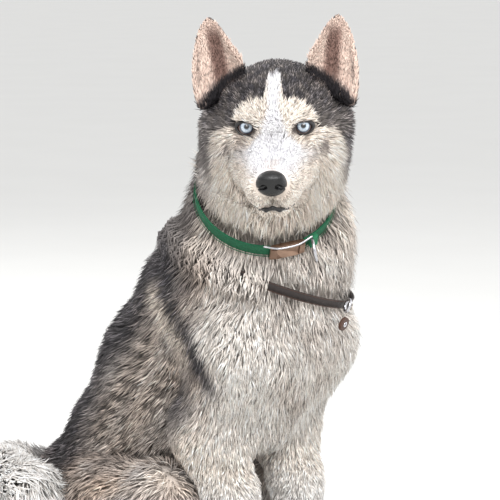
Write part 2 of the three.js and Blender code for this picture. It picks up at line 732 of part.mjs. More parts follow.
function makeTail() {
  const turn = new THREE.Quaternion().setFromUnitVectors(at(0, 0, 1), tailCut.normal);
  const frame = new THREE.Matrix4().compose(tailCut.point, turn, at(1, 1, 1));
  const root = block(at(-90, -90, -160), at(90, 90, GAP / 2), 0, frame);
  return largestOf(tailSkin(0).subtract(root).intersect(floor));
}

// The legs take their share of the body's skin, and the feet have skins of their own
function foreLeg(name) {
  const skin = solid(skinOf(bodyField, ...onLeft(name, at(0, -100, 20), at(130, 180, 320)), GRID.foreLeg));
  const shank = half(at(0, 0, FORE_ANKLE + GAP), at(0, 0, 1));
  return largestOf(skin.intersect(foreWedge(name, 0)).intersect(shank));
}
const clawsOf = (name, paw, ahead, spread) =>
  toeAngles.map((n) => {
    const reach = toeReach(n) + 6;
    const tip = paw.clone().add(at(n * spread + ahead.x * reach, ahead.y * reach, -13));
    const onSide = (p) => at(side(name, p.x), p.y, p.z);
    return (grow) => claw(onSide(tip), ahead, grow);
  });
const PAWS = {
  fore: { paw: b.forePaw, ahead: at(0.04, -1, 0), spread: 16 },
  hind: { paw: b.hindPaw, ahead: at(0.12, -1, 0), spread: 15 },
};
const foreClaws = (name) => clawsOf(name, PAWS.fore.paw, PAWS.fore.ahead, PAWS.fore.spread);
const hindClaws = (name) => clawsOf(name, PAWS.hind.paw, PAWS.hind.ahead, PAWS.hind.spread);

// A claw: a short cone that curves down from a toe's tip
function claw(root, ahead, grow) {
  const forward = at(0, ahead.y, 0);
  const rings = [[-5, 3, 3.4], [2, 2.5, 3], [8, -1.5, 2], [11.5, -6, 0.6]].map(([out, up, radius]) =>
    Array.from({ length: 5 }, (_, i) => {
      const turn = (2 * Math.PI * i) / 5;
      const wide = Math.cos(turn) * (radius * 0.7 + grow);
      const tall = Math.sin(turn) * (radius + grow);
      const ahead = out + tall * 0.4 + Math.sign(out) * grow;
      return root.clone().addScaledVector(forward, ahead).add(at(wide, 0, up + tall));
    }),
  );
  return closeRings(rings);
}
function foreFoot(name) {
  const field = join(foreFootField, below(foreLegField, new THREE.Plane(at(0, 0, 1), -FORE_ANKLE - 16)));
  const skin = solid(skinOf(field, ...onLeft(name, at(4, -120, -10), at(110, 40, 90)), GRID.foot));
  const foot = skin.intersect(floor).subtract(half(at(0, 0, FORE_ANKLE), at(0, 0, 1)));
  return largestOf(foreClaws(name).reduce((made, claw) => made.subtract(claw(GAP)), foot));
}
function hindLeg(name) {
  const skin = solid(skinOf(bodyField, ...onLeft(name, at(10, 20, -20), at(200, 470, 300)), GRID.hindLeg));
  const thigh = skin.intersect(thighWedge(name, 0)).subtract(hindFootBox(name, GAP));
  return largestOf(thigh.subtract(tailSkin(TAIL_CLEAR)).intersect(floor));
}
function hindFoot(name) {
  const field = blend(14, hindFootField, hindLegField);
  const skin = solid(skinOf(field, ...onLeft(name, at(40, 30, -14), at(180, 300, 80)), GRID.foot));
  const foot = skin.intersect(hindFootBox(name, 0)).intersect(floor);
  return largestOf(hindClaws(name).reduce((made, claw) => made.subtract(claw(GAP)), foot));
}

const dog = new THREE.Group();
const show = (name, made, colour, roughness = 0.9, metalness = 0) => {
  const material = new THREE.MeshStandardMaterial({ color: colour, roughness, metalness });
  const mesh = new THREE.Mesh(geometryOf(made), material);
  mesh.name = name;
  dog.add(mesh);
};
const GREY = 0x8d8780;
const WHITE = 0xe4e0da;
const HORN = 0x3a3430;
show("head", makeHead(), GREY);
show("neck", makeNeck(), GREY);
show("torso", makeTorso(), GREY);
show("tail", makeTail(), GREY);
show("nose", ["left", "right"].reduce((made, name) => made.subtract(nostril(name)), nose(0)), 0x1b1a1c, 0.45);
show("collar", collar(0).subtract(buckle(GAP)).subtract(ringLoop(GAP)), 0x2f6f4f, 0.6);
show("buckle", buckle(0), 0xb08a72, 0.3, 0.9);
show("d_ring", dRing(0), 0xc8c8c8, 0.3, 1);
show("ring_loop", ringLoop(0).subtract(dRing(GAP)), 0x2f6f4f, 0.6);
show("slip_strap", slip(0), 0x2a2320, 0.6);
show("slip_ring", slipRing(0), 0xc8c8c8, 0.3, 1);
show("slip_tab", slipTab(0).subtract(tabEyelet(GAP)), 0x4a3226, 0.6);
show("slip_eyelet", tabEyelet(0), 0xc8c8c8, 0.3, 1);
for (const name of ["left", "right"]) {
  show("eye_" + name, eyeBall(name, 0), 0x9fc4e0, 0.1);
  show("ear_" + name, ear(name), GREY);
  show("foreleg_" + name, foreLeg(name), WHITE);
  show("forefoot_" + name, foreFoot(name), WHITE);
  show("hindleg_" + name, hindLeg(name), GREY);
  show("hindfoot_" + name, hindFoot(name), WHITE);
  foreClaws(name).forEach((claw, n) => show(`foreclaw_${name}_${n + 1}`, claw(0), HORN, 0.5));
  hindClaws(name).forEach((claw, n) => show(`hindclaw_${name}_${n + 1}`, claw(0), HORN, 0.5));
}

// The origin is on the floor, under the middle of the whole
const extent = new THREE.Box3().setFromObject(dog);
dog.position.copy(extent.getCenter(at(0, 0, 0)).setZ(extent.min.z)).negate();
export default dog;
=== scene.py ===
import math
from collections import namedtuple

import bmesh
import bpy
import numpy as np
from mathutils import Matrix, Vector
from numpy.linalg import norm


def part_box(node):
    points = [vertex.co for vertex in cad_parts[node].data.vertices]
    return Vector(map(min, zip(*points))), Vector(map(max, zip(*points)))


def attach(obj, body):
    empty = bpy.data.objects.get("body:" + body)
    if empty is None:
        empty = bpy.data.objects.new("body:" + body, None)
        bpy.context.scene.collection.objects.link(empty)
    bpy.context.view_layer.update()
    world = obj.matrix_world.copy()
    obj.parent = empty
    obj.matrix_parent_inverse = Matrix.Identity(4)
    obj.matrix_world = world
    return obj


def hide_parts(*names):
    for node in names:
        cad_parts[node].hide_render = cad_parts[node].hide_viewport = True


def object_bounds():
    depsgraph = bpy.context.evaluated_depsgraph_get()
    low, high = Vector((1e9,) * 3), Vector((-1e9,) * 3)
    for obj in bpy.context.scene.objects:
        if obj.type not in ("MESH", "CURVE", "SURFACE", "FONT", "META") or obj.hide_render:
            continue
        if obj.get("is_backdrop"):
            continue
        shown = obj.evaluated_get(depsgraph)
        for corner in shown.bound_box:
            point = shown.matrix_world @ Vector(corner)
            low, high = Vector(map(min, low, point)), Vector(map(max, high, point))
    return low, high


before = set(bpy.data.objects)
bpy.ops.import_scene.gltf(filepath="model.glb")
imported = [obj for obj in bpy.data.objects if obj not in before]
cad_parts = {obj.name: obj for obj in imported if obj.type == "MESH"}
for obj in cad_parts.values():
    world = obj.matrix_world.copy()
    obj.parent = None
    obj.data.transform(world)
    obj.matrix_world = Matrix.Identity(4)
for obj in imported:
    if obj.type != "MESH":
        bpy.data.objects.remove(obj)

CAD_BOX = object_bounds()

# The dog's shape, in millimetres, in the frame that the pose was set in
EYE_HEIGHT = 690.0
HEAD_YAW, HEAD_PITCH, HEAD_ROLL = -49.0, 12.0, 1.5
EYE_RADIUS = 11.5
EYE_CENTRE = np.array([34.0, -3.0, 0.0])
SIDES = (("left", 1), ("right", -1))
MID_EYE = np.array([-92.0, -88.0, EYE_HEIGHT])

BONES = {
    "neck_base": (2, 56, 470), "neck_mid": (-2, 20, 548), "neck_top": (-24, -14, 612),
    "nape": (-44, -40, 662),
    "chest_top": (0, 88, 436), "ribs": (0, 170, 345), "loin": (0, 255, 232), "pelvis": (0, 322, 158),
    "rump": (0, 352, 108), "breast": (0, 6, 398), "brisket": (0, 44, 325), "belly": (0, 180, 290),
    "blade_top": (42, 116, 458), "shoulder": (66, 0, 402), "elbow": (66, 54, 288), "forearm": (59, 22, 215),
    "carpus": (55, 2, 125), "pastern": (55, -14, 60), "fore_paw": (56, -34, 27), "heel": (56, -8, 20),
    "hip": (52, 318, 158), "thigh": (82, 222, 178), "knee": (93, 108, 198), "ham": (66, 346, 72),
    "hock": (94, 290, 52), "foot_back": (100, 220, 32), "hind_paw": (108, 130, 27),
}
B = {name: np.array(place, float) for name, place in BONES.items()}


def turn_about(axis, degrees):
    a = math.radians(degrees)
    c, s = math.cos(a), math.sin(a)
    rows = {
        "x": [[1, 0, 0], [0, c, -s], [0, s, c]],
        "y": [[c, 0, s], [0, 1, 0], [-s, 0, c]],
        "z": [[c, -s, 0], [s, c, 0], [0, 0, 1]],
    }
    return np.array(rows[axis])


HEAD_TURN = turn_about("z", HEAD_YAW) @ turn_about("x", HEAD_PITCH) @ turn_about("y", -HEAD_ROLL)


def on_head(p):
    return np.asarray(p, float) @ HEAD_TURN.T + MID_EYE


def to_head(p):
    return (np.asarray(p, float) - MID_EYE) @ HEAD_TURN


# Fields: each takes points and gives their distances from a surface, less than zero inside
def limb(a, b, ra, rb):
    a, b = np.asarray(a, float), np.asarray(b, float)
    bar = b - a
    length2 = bar @ bar

    def field(p):
        t = np.clip(((p - a) @ bar) / length2, 0, 1)
        return norm(p - a - t[:, None] * bar, axis=1) - (ra + (rb - ra) * t)
    return field


def egg(c, radii):
    c, radii = np.asarray(c, float), np.asarray(radii, float)

    def field(p):
        q = (p - c) / radii
        near = norm(q, axis=1)
        slope = norm(q / radii, axis=1)
        return near * (near - 1) / np.maximum(slope, 1e-9)
    return field


def soften(d, e, k):
    h = np.maximum(k - np.abs(d - e), 0) / k
    return np.minimum(d, e) - h * h * k / 4


def blend(k, *fields):
    def field(p):
        d = fields[0](p)
        for other in fields[1:]:
            d = soften(d, other(p), k)
        return d
    return field


def join(*fields):
    return lambda p: np.min([field(p) for field in fields], axis=0)


def dig(k, field, tool):
    return lambda p: -soften(-field(p), tool(p), k)


def columns(*parts):
    """Columns side by side; a single number fills its column."""
    return np.column_stack(np.broadcast_arrays(*parts))


def mirrored(p):
    return columns(np.abs(p[:, 0]), p[:, 1], p[:, 2])


def both_sides(field):
    return lambda p: field(mirrored(p))


def in_head(field):
    return lambda p: field(to_head(p))


def chain(k, points, radii):
    links = [limb(a, b, ra, rb) for a, b, ra, rb in zip(points, points[1:], radii, radii[1:])]
    return blend(k, *links)


def bones(*names):
    return [B[name] for name in names]


trunk = both_sides(blend(
    40,
    chain(30, bones("chest_top", "ribs", "loin", "pelvis", "rump"), [110, 106, 92, 84, 78]),
    limb(B["breast"], B["brisket"], 80, 72),
    limb(B["blade_top"], B["shoulder"], 54, 52),
    limb(B["shoulder"], B["elbow"], 50, 42),
    limb(B["belly"], B["loin"], 84, 80),
))
neck = blend(
    40,
    chain(40, bones("neck_base", "neck_mid", "neck_top", "nape"), [104, 96, 86, 74]),
    limb((16, -4, 470), (6, -20, 540), 80, 76),
)
skull = both_sides(blend(
    16,
    egg((0, 55, 12), (64, 66, 51)),
    egg((0, 14, 16), (48, 38, 34)),
    limb((33, 6, 17), (42, 30, 24), 14, 22),
    limb((46, 14, -18), (64, 55, -12), 17, 24),
    egg((44, 46, -36), (34, 42, 38)),
    egg((0, 60, -45), (50, 52, 38)),
    limb((10, 8, -26), (9, -84, -41), 27, 18),
    limb((27, -14, -50), (17, -78, -56), 20, 16),
    limb((12, 10, -76), (8, -74, -78), 18, 12),
))
fore_leg = both_sides(chain(20, bones("elbow", "forearm", "carpus", "pastern"), [46, 34, 28, 26]))
hind_leg = both_sides(blend(
    36,
    chain(30, bones("hip", "thigh", "knee"), [68, 59, 50]),
    limb(B["knee"], B["hock"], 44, 27),
    limb(B["hip"], B["ham"], 66, 68),
    limb(B["ham"], B["thigh"], 62, 56),
))


def toes(paw, ahead, spread):
    found = []
    for n in (-1.5, -0.5, 0.5, 1.5):
        reach = 30 if abs(n) > 1 else 40
        root = paw + np.array([n * spread * 0.7, -6, -4])
        tip = paw + np.array([n * spread + ahead[0] * reach, ahead[1] * reach, -12])
        found.append(limb(root, tip, 13, 11))
    return found


fore_foot = both_sides(blend(
    5,
    blend(16, limb(B["pastern"], B["fore_paw"], 26, 27), limb(B["fore_paw"], B["heel"], 24, 20)),
    *toes(B["fore_paw"], (0.04, -1.0), 16),
))
hind_foot = both_sides(blend(
    5,
    chain(18, bones("hock", "foot_back", "hind_paw"), [28, 24, 26]),
    *toes(B["hind_paw"], (0.12, -1.0), 15),
))


def whole_turn(steps):
    return np.arange(steps) * 2 * math.pi / steps


def unit(v):
    v = np.asarray(v, float)
    return v / norm(v)


Hoop = namedtuple("Hoop", "centre front normal radius")
COLLAR = Hoop(np.array([-36.0, -16, 596]), np.array([-70.0, -57, 543]), unit((-0.455, -0.542, 0.707)), 84.0)
SLIP = Hoop(np.array([9.5, 33, 497.0]), np.array([-48.0, -60, 484]), unit((0.225, -0.275, 0.92)), 119.0)


def furrow(spec, depth):
    """A round channel pressed into the ruff along a hoop, deepest at its front."""
    u = unit(spec.front - spec.centre)

    def field(p):
        away = p - spec.centre
        up = away @ spec.normal
        away = away - up[:, None] * spec.normal
        out = norm(away, axis=1)
        ahead = np.clip((away @ u) / np.maximum(out, 1) + 0.35, 0, 1)
        return np.hypot(up, out - spec.radius - depth) - depth * np.sqrt(ahead)
    return field


TAIL_PATH = [np.array(p, float) for p in (
    (0, 376, 118), (-12, 432, 158), (-72, 434, 178), (-138, 374, 190), (-161, 288, 192), (-178, 238, 142),
    (-184, 212, 80), (-187, 182, 17))]
TAIL_RADII = [34, 40, 42, 41, 40, 38, 33, 19]
tail = chain(14, TAIL_PATH, TAIL_RADII)
channels = join(furrow(COLLAR, 20), furrow(SLIP._replace(front=np.array([80.0, -60, 500])), 11))
core = dig(14, blend(45, trunk, neck), channels)
head = in_head(skull)
NECK_BLEND, FORE_BLEND, HIND_BLEND, FOOT_BLEND = 40, 34, 30, 9
upper = blend(NECK_BLEND, core, head)
body = join(blend(FORE_BLEND, upper, fore_leg), blend(HIND_BLEND, core, hind_leg))
whole = blend(FOOT_BLEND, body, fore_foot, hind_foot, tail)
NOSE_AT = np.array([0.0, -96.0, -41.0])
NOSE_HALF = np.array([18.5, 13.0, 15.5])
REGIONS = [head, neck, trunk, fore_leg, fore_foot, hind_leg, hind_foot, tail]
REGION_SOFTNESS = 11
rng = np.random.default_rng(7)


def ease(v, low, high):
    """A smooth step: 0 up to low, 1 from high."""
    t = np.clip((v - low) / (high - low), 0, 1)
    return t * t * (3 - 2 * t)


def normed(v):
    return v / np.maximum(norm(v, axis=1, keepdims=True), 1e-9)


def shares(p):
    """How much of each region's coat a point has: rows of eight shares."""
    d = np.column_stack([field(p) for field in REGIONS])
    w = np.exp(-(d - d.min(axis=1, keepdims=True)) / REGION_SOFTNESS)
    return w / w.sum(axis=1, keepdims=True)


def of_head(p, face, cheek, crown):
    """A value for the head: short on the face, long on the cheeks, medium on the crown."""
    q = to_head(p)
    away = ease(q[:, 1], -35, 45)
    low = ease(-q[:, 2], 0, 28) * ease(np.abs(q[:, 0]), 34, 58) * ease(q[:, 1], -5, 25)
    under = ease(-q[:, 2], 60, 90) * ease(q[:, 1], -50, 20)
    mix = np.maximum(low, under)
    return face * (1 - away) * (1 - mix) + crown * away * (1 - mix) + cheek * mix


def by_region(p, w, head_values, values):
    return w[:, 0] * of_head(p, *head_values) + w[:, 1:] @ np.array(values, float)


# The coat's depth and the tufts' length and width: on the face, the cheeks and the crown, then by region
DEPTH = ((2.0, 9.0, 5.0), (17, 13, 6, 2.5, 13, 4, 21))
LENGTH = ((7.0, 25.0, 13.0), (33, 30, 14, 8, 26, 9, 46))
WIDTH = ((1.15, 1.8, 1.5), (2.0, 2.3, 1.7, 1.4, 2.3, 1.5, 2.4))


def depth_of(p):
    return by_region(p, shares(p), *DEPTH)


EYE_HOLLOW = both_sides(egg((34, -17, 0), (12, 8, 8.3)))
MOUTH = [
    (-24, -72, -74), (-16, -83, -74.5), (-8, -90.5, -74.5), (0, -94, -71),
    (8, -90.5, -74.5), (16, -83, -74.5), (24, -72, -74),
]
mouth_groove = in_head(chain(1, [np.array(m, float) for m in MOUTH], [2.2] * len(MOUTH)))


def skin_field(p):
    """The skin under the coat; the coat's depth is only worked out near the surface."""
    d = whole(p)
    near = np.abs(d) < 60
    out = d + 12
    if near.any():
        out[near] = d[near] + depth_of(p[near])
    return out


fine_head = dig(2, dig(3, lambda p: upper(p) + depth_of(p), in_head(EYE_HOLLOW)), mouth_groove)
HEAD_CUT, HEAD_UP = np.array([-35.0, -30.0, 625.0]), unit((-0.3, -0.35, 0.89))


def gather(index, rows, size):
    """The sum of the rows that have each index."""
    return np.column_stack([np.bincount(index, weights=column, minlength=size) for column in rows.T])


def nets(field, low, high, step):
    """A closed mesh of quads on the surface where field is zero, inside the box from low to high."""
    low, high = np.asarray(low, float), np.asarray(high, float)
    n = np.ceil((high - low) / step).astype(int) + 1
    rows = [low[i] + step * np.arange(n[i]) for i in range(3)]
    plane = np.stack(np.meshgrid(rows[1], rows[2], indexing="ij"), -1).reshape(-1, 2)
    d = np.empty(n)
    for i, x in enumerate(rows[0]):
        d[i] = field(np.column_stack([np.full(len(plane), x), plane])).reshape(n[1], n[2])
    edge = np.ones(n, bool)
    edge[1:-1, 1:-1, 1:-1] = False
    d[edge] = np.maximum(d[edge], step / 2)
    size = int(n.prod())
    total, hits, rings = np.zeros((size, 3)), np.zeros(size), []
    index = lambda idx: (idx[:, 0] * n[1] + idx[:, 1]) * n[2] + idx[:, 2]
    for axis in range(3):
        a, b = np.take(d, range(n[axis] - 1), axis), np.take(d, range(1, n[axis]), axis)
        idx = np.argwhere((a < 0) != (b < 0))
        va, vb = a[tuple(idx.T)], b[tuple(idx.T)]
        pos = low + step * idx
        pos[:, axis] += step * va / (va - vb)
        o1, o2 = np.eye(3, dtype=int)[(axis + 1) % 3], np.eye(3, dtype=int)[(axis + 2) % 3]
        cells = [index(idx), index(idx - o1), index(idx - o1 - o2), index(idx - o2)]
        for c in cells:
            hits += np.bincount(c, minlength=size)
            total += gather(c, pos, size)
        rings.append(np.where((va < 0)[:, None], np.stack(cells, 1), np.stack(cells[::-1], 1)))
    quads = np.vstack(rings)
    used = np.unique(quads)
    number = np.zeros(size, int)
    number[used] = np.arange(len(used))
    verts = total[used] / hits[used, None]
    for _ in range(2):
        verts -= slope(field, verts) * np.clip(field(verts), -step, step)[:, None]
    return verts, number[quads]


def slope(field, p, reach=0.6):
    return normed(np.column_stack([field(p + e) - field(p - e) for e in np.eye(3) * reach]))


SHIFT = np.array([sum(ends) / 2 * 1000 for ends in zip(*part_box("eye_left"))]) - on_head(EYE_CENTRE)


def lin(c):
    c = np.asarray(c, float)
    return np.where(c < 0.04045, c / 12.92, ((c + 0.055) / 1.055) ** 2.4)


def read(items, key, size, kind=np.float32):
    """One attribute of all of Blender's items, as rows of size values."""
    found = np.empty(len(items) * size, kind)
    items.foreach_get(key, found)
    return found.reshape(-1, size)


def paint(mesh, tone):
    rgba = np.column_stack([lin(tone), np.ones(len(tone))]).astype(np.float32)
    mesh.attributes.new("tone", "FLOAT_COLOR", "POINT").data.foreach_set("color", rgba.ravel())


def make(name, verts, faces, finish, stands_for=(), tone=None, uv=None, uv_name="UVMap", smooth=True):
    """A mesh piece from points in the pose's millimetres, riding on the body."""
    faces = np.asarray(faces, np.int32)
    mesh = bpy.data.meshes.new(name)
    mesh.vertices.add(len(verts))
    mesh.vertices.foreach_set("co", ((np.asarray(verts) + SHIFT) / 1000).astype(np.float32).ravel())
    mesh.loops.add(faces.size)
    mesh.loops.foreach_set("vertex_index", faces.ravel())
    mesh.polygons.add(len(faces))
    mesh.polygons.foreach_set("loop_start", np.arange(len(faces), dtype=np.int32) * faces.shape[1])
    mesh.polygons.foreach_set("use_smooth", np.full(len(faces), smooth))
    mesh.update(calc_edges=True)
    if tone is not None:
        paint(mesh, tone)
    if uv is not None:
        mesh.uv_layers.new(name=uv_name).data.foreach_set("uv", uv[faces.ravel()].astype(np.float32).ravel())
    mesh.materials.append(finish)
    made = bpy.data.objects.new(name, mesh)
    bpy.context.scene.collection.objects.link(made)
    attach(made, "root")
    if stands_for:
        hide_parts(*stands_for)
    return made


# Finishes
THREADS = {
    "Color1": (1, 1, 1, 1), "Color2": (0.7, 0.7, 0.7, 1), "Mortar": (0, 0, 0, 1),
    "Mortar Size": 0.06, "Mortar Smooth": 1.0,
}


def finish(
    name, colour, rough, metallic=0.0, bumps=(), mottle=0.0, tone=False, specular=0.5, coat=0.0, scale=60.0,
):
    """A material of one colour, or of the tone attribute's, mottled by noise, with bumps."""
    mat = bpy.data.materials.new(name)
    mat.use_nodes = True
    nodes, links = mat.node_tree.nodes, mat.node_tree.links
    shader = nodes["Principled BSDF"]
    settings = {"Roughness": rough, "Metallic": metallic, "Specular IOR Level": specular, "Coat Weight": coat}
    for socket, value in settings.items():
        shader.inputs[socket].default_value = value
    shader.inputs["Coat Roughness"].default_value = 0.08
    place = nodes.new("ShaderNodeTexCoord").outputs["Object"]
    mix = nodes.new("ShaderNodeMix")
    mix.data_type, mix.blend_type = "RGBA", "MULTIPLY"
    mix.inputs[0].default_value = mottle
    if tone:
        source = nodes.new("ShaderNodeAttribute")
        source.attribute_name = "tone"
        links.new(source.outputs["Color"], mix.inputs[6])
    else:
        mix.inputs[6].default_value = (*lin(colour), 1)
    noise = nodes.new("ShaderNodeTexNoise")
    noise.inputs["Scale"].default_value = scale
    noise.inputs["Detail"].default_value = 6
    ramp = nodes.new("ShaderNodeValToRGB")
    ramp.color_ramp.elements[0].position, ramp.color_ramp.elements[1].position = 0.3, 0.7
    ramp.color_ramp.elements[0].color = (0.35, 0.34, 0.33, 1)
    links.new(place, noise.inputs["Vector"])
    links.new(noise.outputs["Fac"], ramp.inputs["Fac"])
    links.new(ramp.outputs["Color"], mix.inputs[7])
    links.new(mix.outputs[2], shader.inputs["Base Color"])
    normal = None
    for kind, size, strength in bumps:
        if kind == "weave":
            uv = nodes.new("ShaderNodeUVMap")
            uv.uv_map = "UVMap"
            field = nodes.new("ShaderNodeTexBrick")
            for socket, value in THREADS.items():
                field.inputs[socket].default_value = value
            links.new(uv.outputs["UV"], field.inputs["Vector"])
        else:
            field = nodes.new("ShaderNodeTexVoronoi" if kind == "cells" else "ShaderNodeTexNoise")
            links.new(place, field.inputs["Vector"])
        field.inputs["Scale"].default_value = size
        bump = nodes.new("ShaderNodeBump")
        bump.inputs["Strength"].default_value = strength
        bump.inputs["Distance"].default_value = 0.0006
        links.new(field.outputs[0], bump.inputs["Height"])
        if normal:
            links.new(normal, bump.inputs["Normal"])
        normal = bump.outputs["Normal"]
    if normal:
        links.new(normal, shader.inputs["Normal"])
    return mat


COAT = finish("coat_fur", (1, 1, 1), 0.72, tone=True, mottle=0.12, specular=0.22, scale=900)
SKIN = finish(
    "coat_skin", (1, 1, 1), 0.85, bumps=[("noise", 700, 0.6)], mottle=0.3, tone=True, specular=0.12,
    scale=500,
)
NOSE = finish(
    "nose_leather", (0.012, 0.012, 0.016), 0.3, bumps=[("cells", 900, 0.55), ("noise", 500, 0.2)],
    mottle=0.5, coat=0.1, scale=300,
)
EYE = finish("eye_gloss", (1, 1, 1), 0.12, tone=True, mottle=0.05, coat=1.0, scale=900)
RIM = finish(
    "eye_rim", (0.06, 0.05, 0.055), 0.4, bumps=[("noise", 900, 0.4)], mottle=0.4, coat=0.1, scale=600,
)
HORN = finish("claw_horn", (0.17, 0.14, 0.13), 0.38, bumps=[("noise", 600, 0.3)], mottle=0.6, scale=350)
WEBBING = finish(
    "green_webbing", (0.17, 0.47, 0.33), 0.8, bumps=[("weave", 1.0, 0.9)], mottle=0.5, specular=0.3,
    scale=400,
)
BRASS = finish("rose_brass", (0.63, 0.52, 0.45), 0.3, 1.0, [("noise", 350, 0.15)], mottle=0.4, scale=120)
STEEL = finish("ring_steel", (0.78, 0.78, 0.80), 0.2, 1.0, [("noise", 500, 0.08)], mottle=0.25, scale=150)
STRAP = finish(
    "dark_leather", (0.15, 0.11, 0.10), 0.5, bumps=[("cells", 1200, 0.5), ("noise", 300, 0.3)],
    mottle=0.5, scale=200,
)
TAB = finish("tab_leather", (0.30, 0.19, 0.14), 0.5, bumps=[("cells", 1200, 0.5)], mottle=0.5, scale=260)


# Markings, and a painted shadow line on the cheeks: a colour for every point of the coat, from its place and
# the way it faces
def waves(p, size, seed):
    """Smooth noise from -1 to 1 that varies over about size millimetres."""
    draws = np.random.default_rng(seed)
    total = np.zeros(len(p))
    for _ in range(6):
        way = draws.normal(size=3)
        along = p @ (way / norm(way)) * 2 * math.pi
        total += np.sin(along / (size * draws.uniform(0.7, 1.6)) + draws.uniform(0, 6.3))
    return total / 3


def mixed(a, b, t):
    """Colour a where t is 0, b where it is 1."""
    t = np.clip(t, 0, 1)[:, None]
    return np.asarray(a) * (1 - t) + np.asarray(b) * t


def near_path(p, points, width, soft):
    """1 within width of a line of points, and 0 farther off, with a soft edge."""
    d = chain(1, [np.array(q, float) for q in points], [width] * len(points))(p)
    return 1 - ease(d, -soft, soft)


CHARCOAL, GREY, AGOUTI = (0.20, 0.195, 0.21), (0.72, 0.695, 0.68), (0.76, 0.72, 0.69)
WHITE, CREAM, BEIGE, TAN = (0.985, 0.98, 1.0), (0.955, 0.905, 0.855), (0.86, 0.79, 0.735), (0.70, 0.61, 0.54)
SOFT_WHITE, FORE_WHITE, FOOT_WHITE = (0.95, 0.92, 0.89), (0.96, 0.94, 0.92), (0.95, 0.925, 0.90)
BRUSH_WHITE, BRUSH_GREY, BLACK = (0.97, 0.95, 0.93), (0.42, 0.41, 0.41), (0.13, 0.125, 0.13)
FACE_SLOPE = math.radians(20)
# The markings' lines, and the painted shadow line at the cheeks: on the body in the pose's frame, on the head
# in its own, from the middle outwards
# The first line is a painted shadow line where the cheek fur meets the neck, above the collar
CHEEK_SHADOW_LINE = [(-118, 6, 615), (-120, -10, 606), (-116, -32, 590), (-107, -47, 576)]
CHEEK_EDGE = [(90, 0, -12), (90, 0, -34), (84, 0, -52)]
EAR_BASE = [(36, 0, 66), (62, 0, 46), (88, 0, 20)]
EDGE_U = [0, 7, 11, 14, 20, 33, 44, 50, 56, 78, 93, 120]
EDGE_V = [62, 61, 34, 30, 31, 29, 20, 9, 0, -6, -26, -70]
STRIPE = [(98, 91, 522), (116, 80, 475), (120, 58, 446), (122, 38, 424), (125, 8, 384), (111, -3, 346)]
PALE = [(119, 104, 470), (123, 74, 436), (125, 46, 404)]
CHEST = [(118, 0, 424), (104, -38, 419), (80, -61, 400), (100, -15, 350), (40, -30, 300)]
KNEE = [(115, 59, 271), (119, 88, 240), (106, 47, 249)]


def ear_base(q):
    """How near a place on the head is to the front of an ear's root."""
    flat = columns(np.abs(q[:, 0]), 0, q[:, 2])
    return near_path(flat, EAR_BASE, 6, 6) * ease(q[:, 1], 0, 14) * (1 - ease(q[:, 1], 70, 90))


def head_tone(p):
    """The head's mask: a charcoal cap, pale brows, cheeks and muzzle, a white blaze, dark rims and a painted
    shadow line where the cheek fur meets the neck.
    """
    q = to_head(p)
    u, w = np.abs(q[:, 0]), q[:, 2] * math.cos(FACE_SLOPE) + q[:, 1] * math.sin(FACE_SLOPE)
    u = u * (1 + 0.10 * ease(u, 42, 68))
    ragged = waves(p, 9, 3) * 2.2
    tone = mixed(CHARCOAL, (0.36, 0.34, 0.33), 0.5 + 0.5 * waves(p, 14, 4))
    light = mixed(CREAM, BEIGE, ease(-w, -6, 14) * ease(16 - np.abs(u - 38), 0, 16) * 0.8)
    light = mixed(light, WHITE, ease(-w, 18, 40))
    blaze = np.interp(-w, [-57, -20, 10, 30, 50], [7, 5, 14, 30, 38])
    light = mixed(light, WHITE, 1 - ease(u - blaze, -3, 5))
    tone = mixed(tone, light, 1 - ease(w + ragged - np.interp(u, EDGE_U, EDGE_V), -3, 3))
    side = near_path(columns(u, 0, w), CHEEK_EDGE, 6, 4)
    tone = mixed(tone, CHARCOAL, side * 0.9)
    # Painted shadow: charcoal along the line where the cheek fur meets the neck
    line = to_head(np.array(CHEEK_SHADOW_LINE, float)) * (-1, 1, 1)
    tone = mixed(tone, CHARCOAL, near_path(columns(u, q[:, 1], q[:, 2]), line, 3, 6) * 0.75)
    tone = mixed(tone, BLACK, ear_base(q) * 0.8)
    smudge = np.hypot((np.abs(q[:, 0]) - 56) / 6, (q[:, 2] + 28) / 11)
    tone = mixed(tone, (0.40, 0.37, 0.37), (1 - ease(smudge, 0.6, 1.3)) * 0.75 * (q[:, 1] < 30))
    eye = np.hypot((u - EYE_CENTRE[0]) / 14, (q[:, 2] - 0.5) / 10)
    tone = mixed(tone, (0.16, 0.14, 0.14), (1 - ease(eye, 0.8, 1.1)) * 0.85 * (q[:, 1] < 10))
    lip = mouth_groove(p)
    tone = mixed(tone, (0.20, 0.17, 0.17), (1 - ease(lip, 0.3, 4)) * 0.8)
    chin = ease(-q[:, 2], 78, 86) * (1 - ease(q[:, 1], -60, -10)) * (1 - ease(u, 14, 34))
    tone = mixed(tone, (0.70, 0.64, 0.60), chin * 0.7)
    bridge = (1 - ease(np.hypot(q[:, 0], q[:, 2] + 22), 4, 14)) * (q[:, 1] < -70)
    tone = mixed(tone, BEIGE, bridge * 0.35)
    tone = mixed(tone, (0.42, 0.40, 0.395), ease(q[:, 1], 78, 108) * 0.7)
    throat = ease(-q[:, 2], 76, 92) * ease(q[:, 1], -50, -10) * (1 - ease(u, 20, 50))
    return mixed(tone, (0.80, 0.74, 0.69), throat * 0.6)


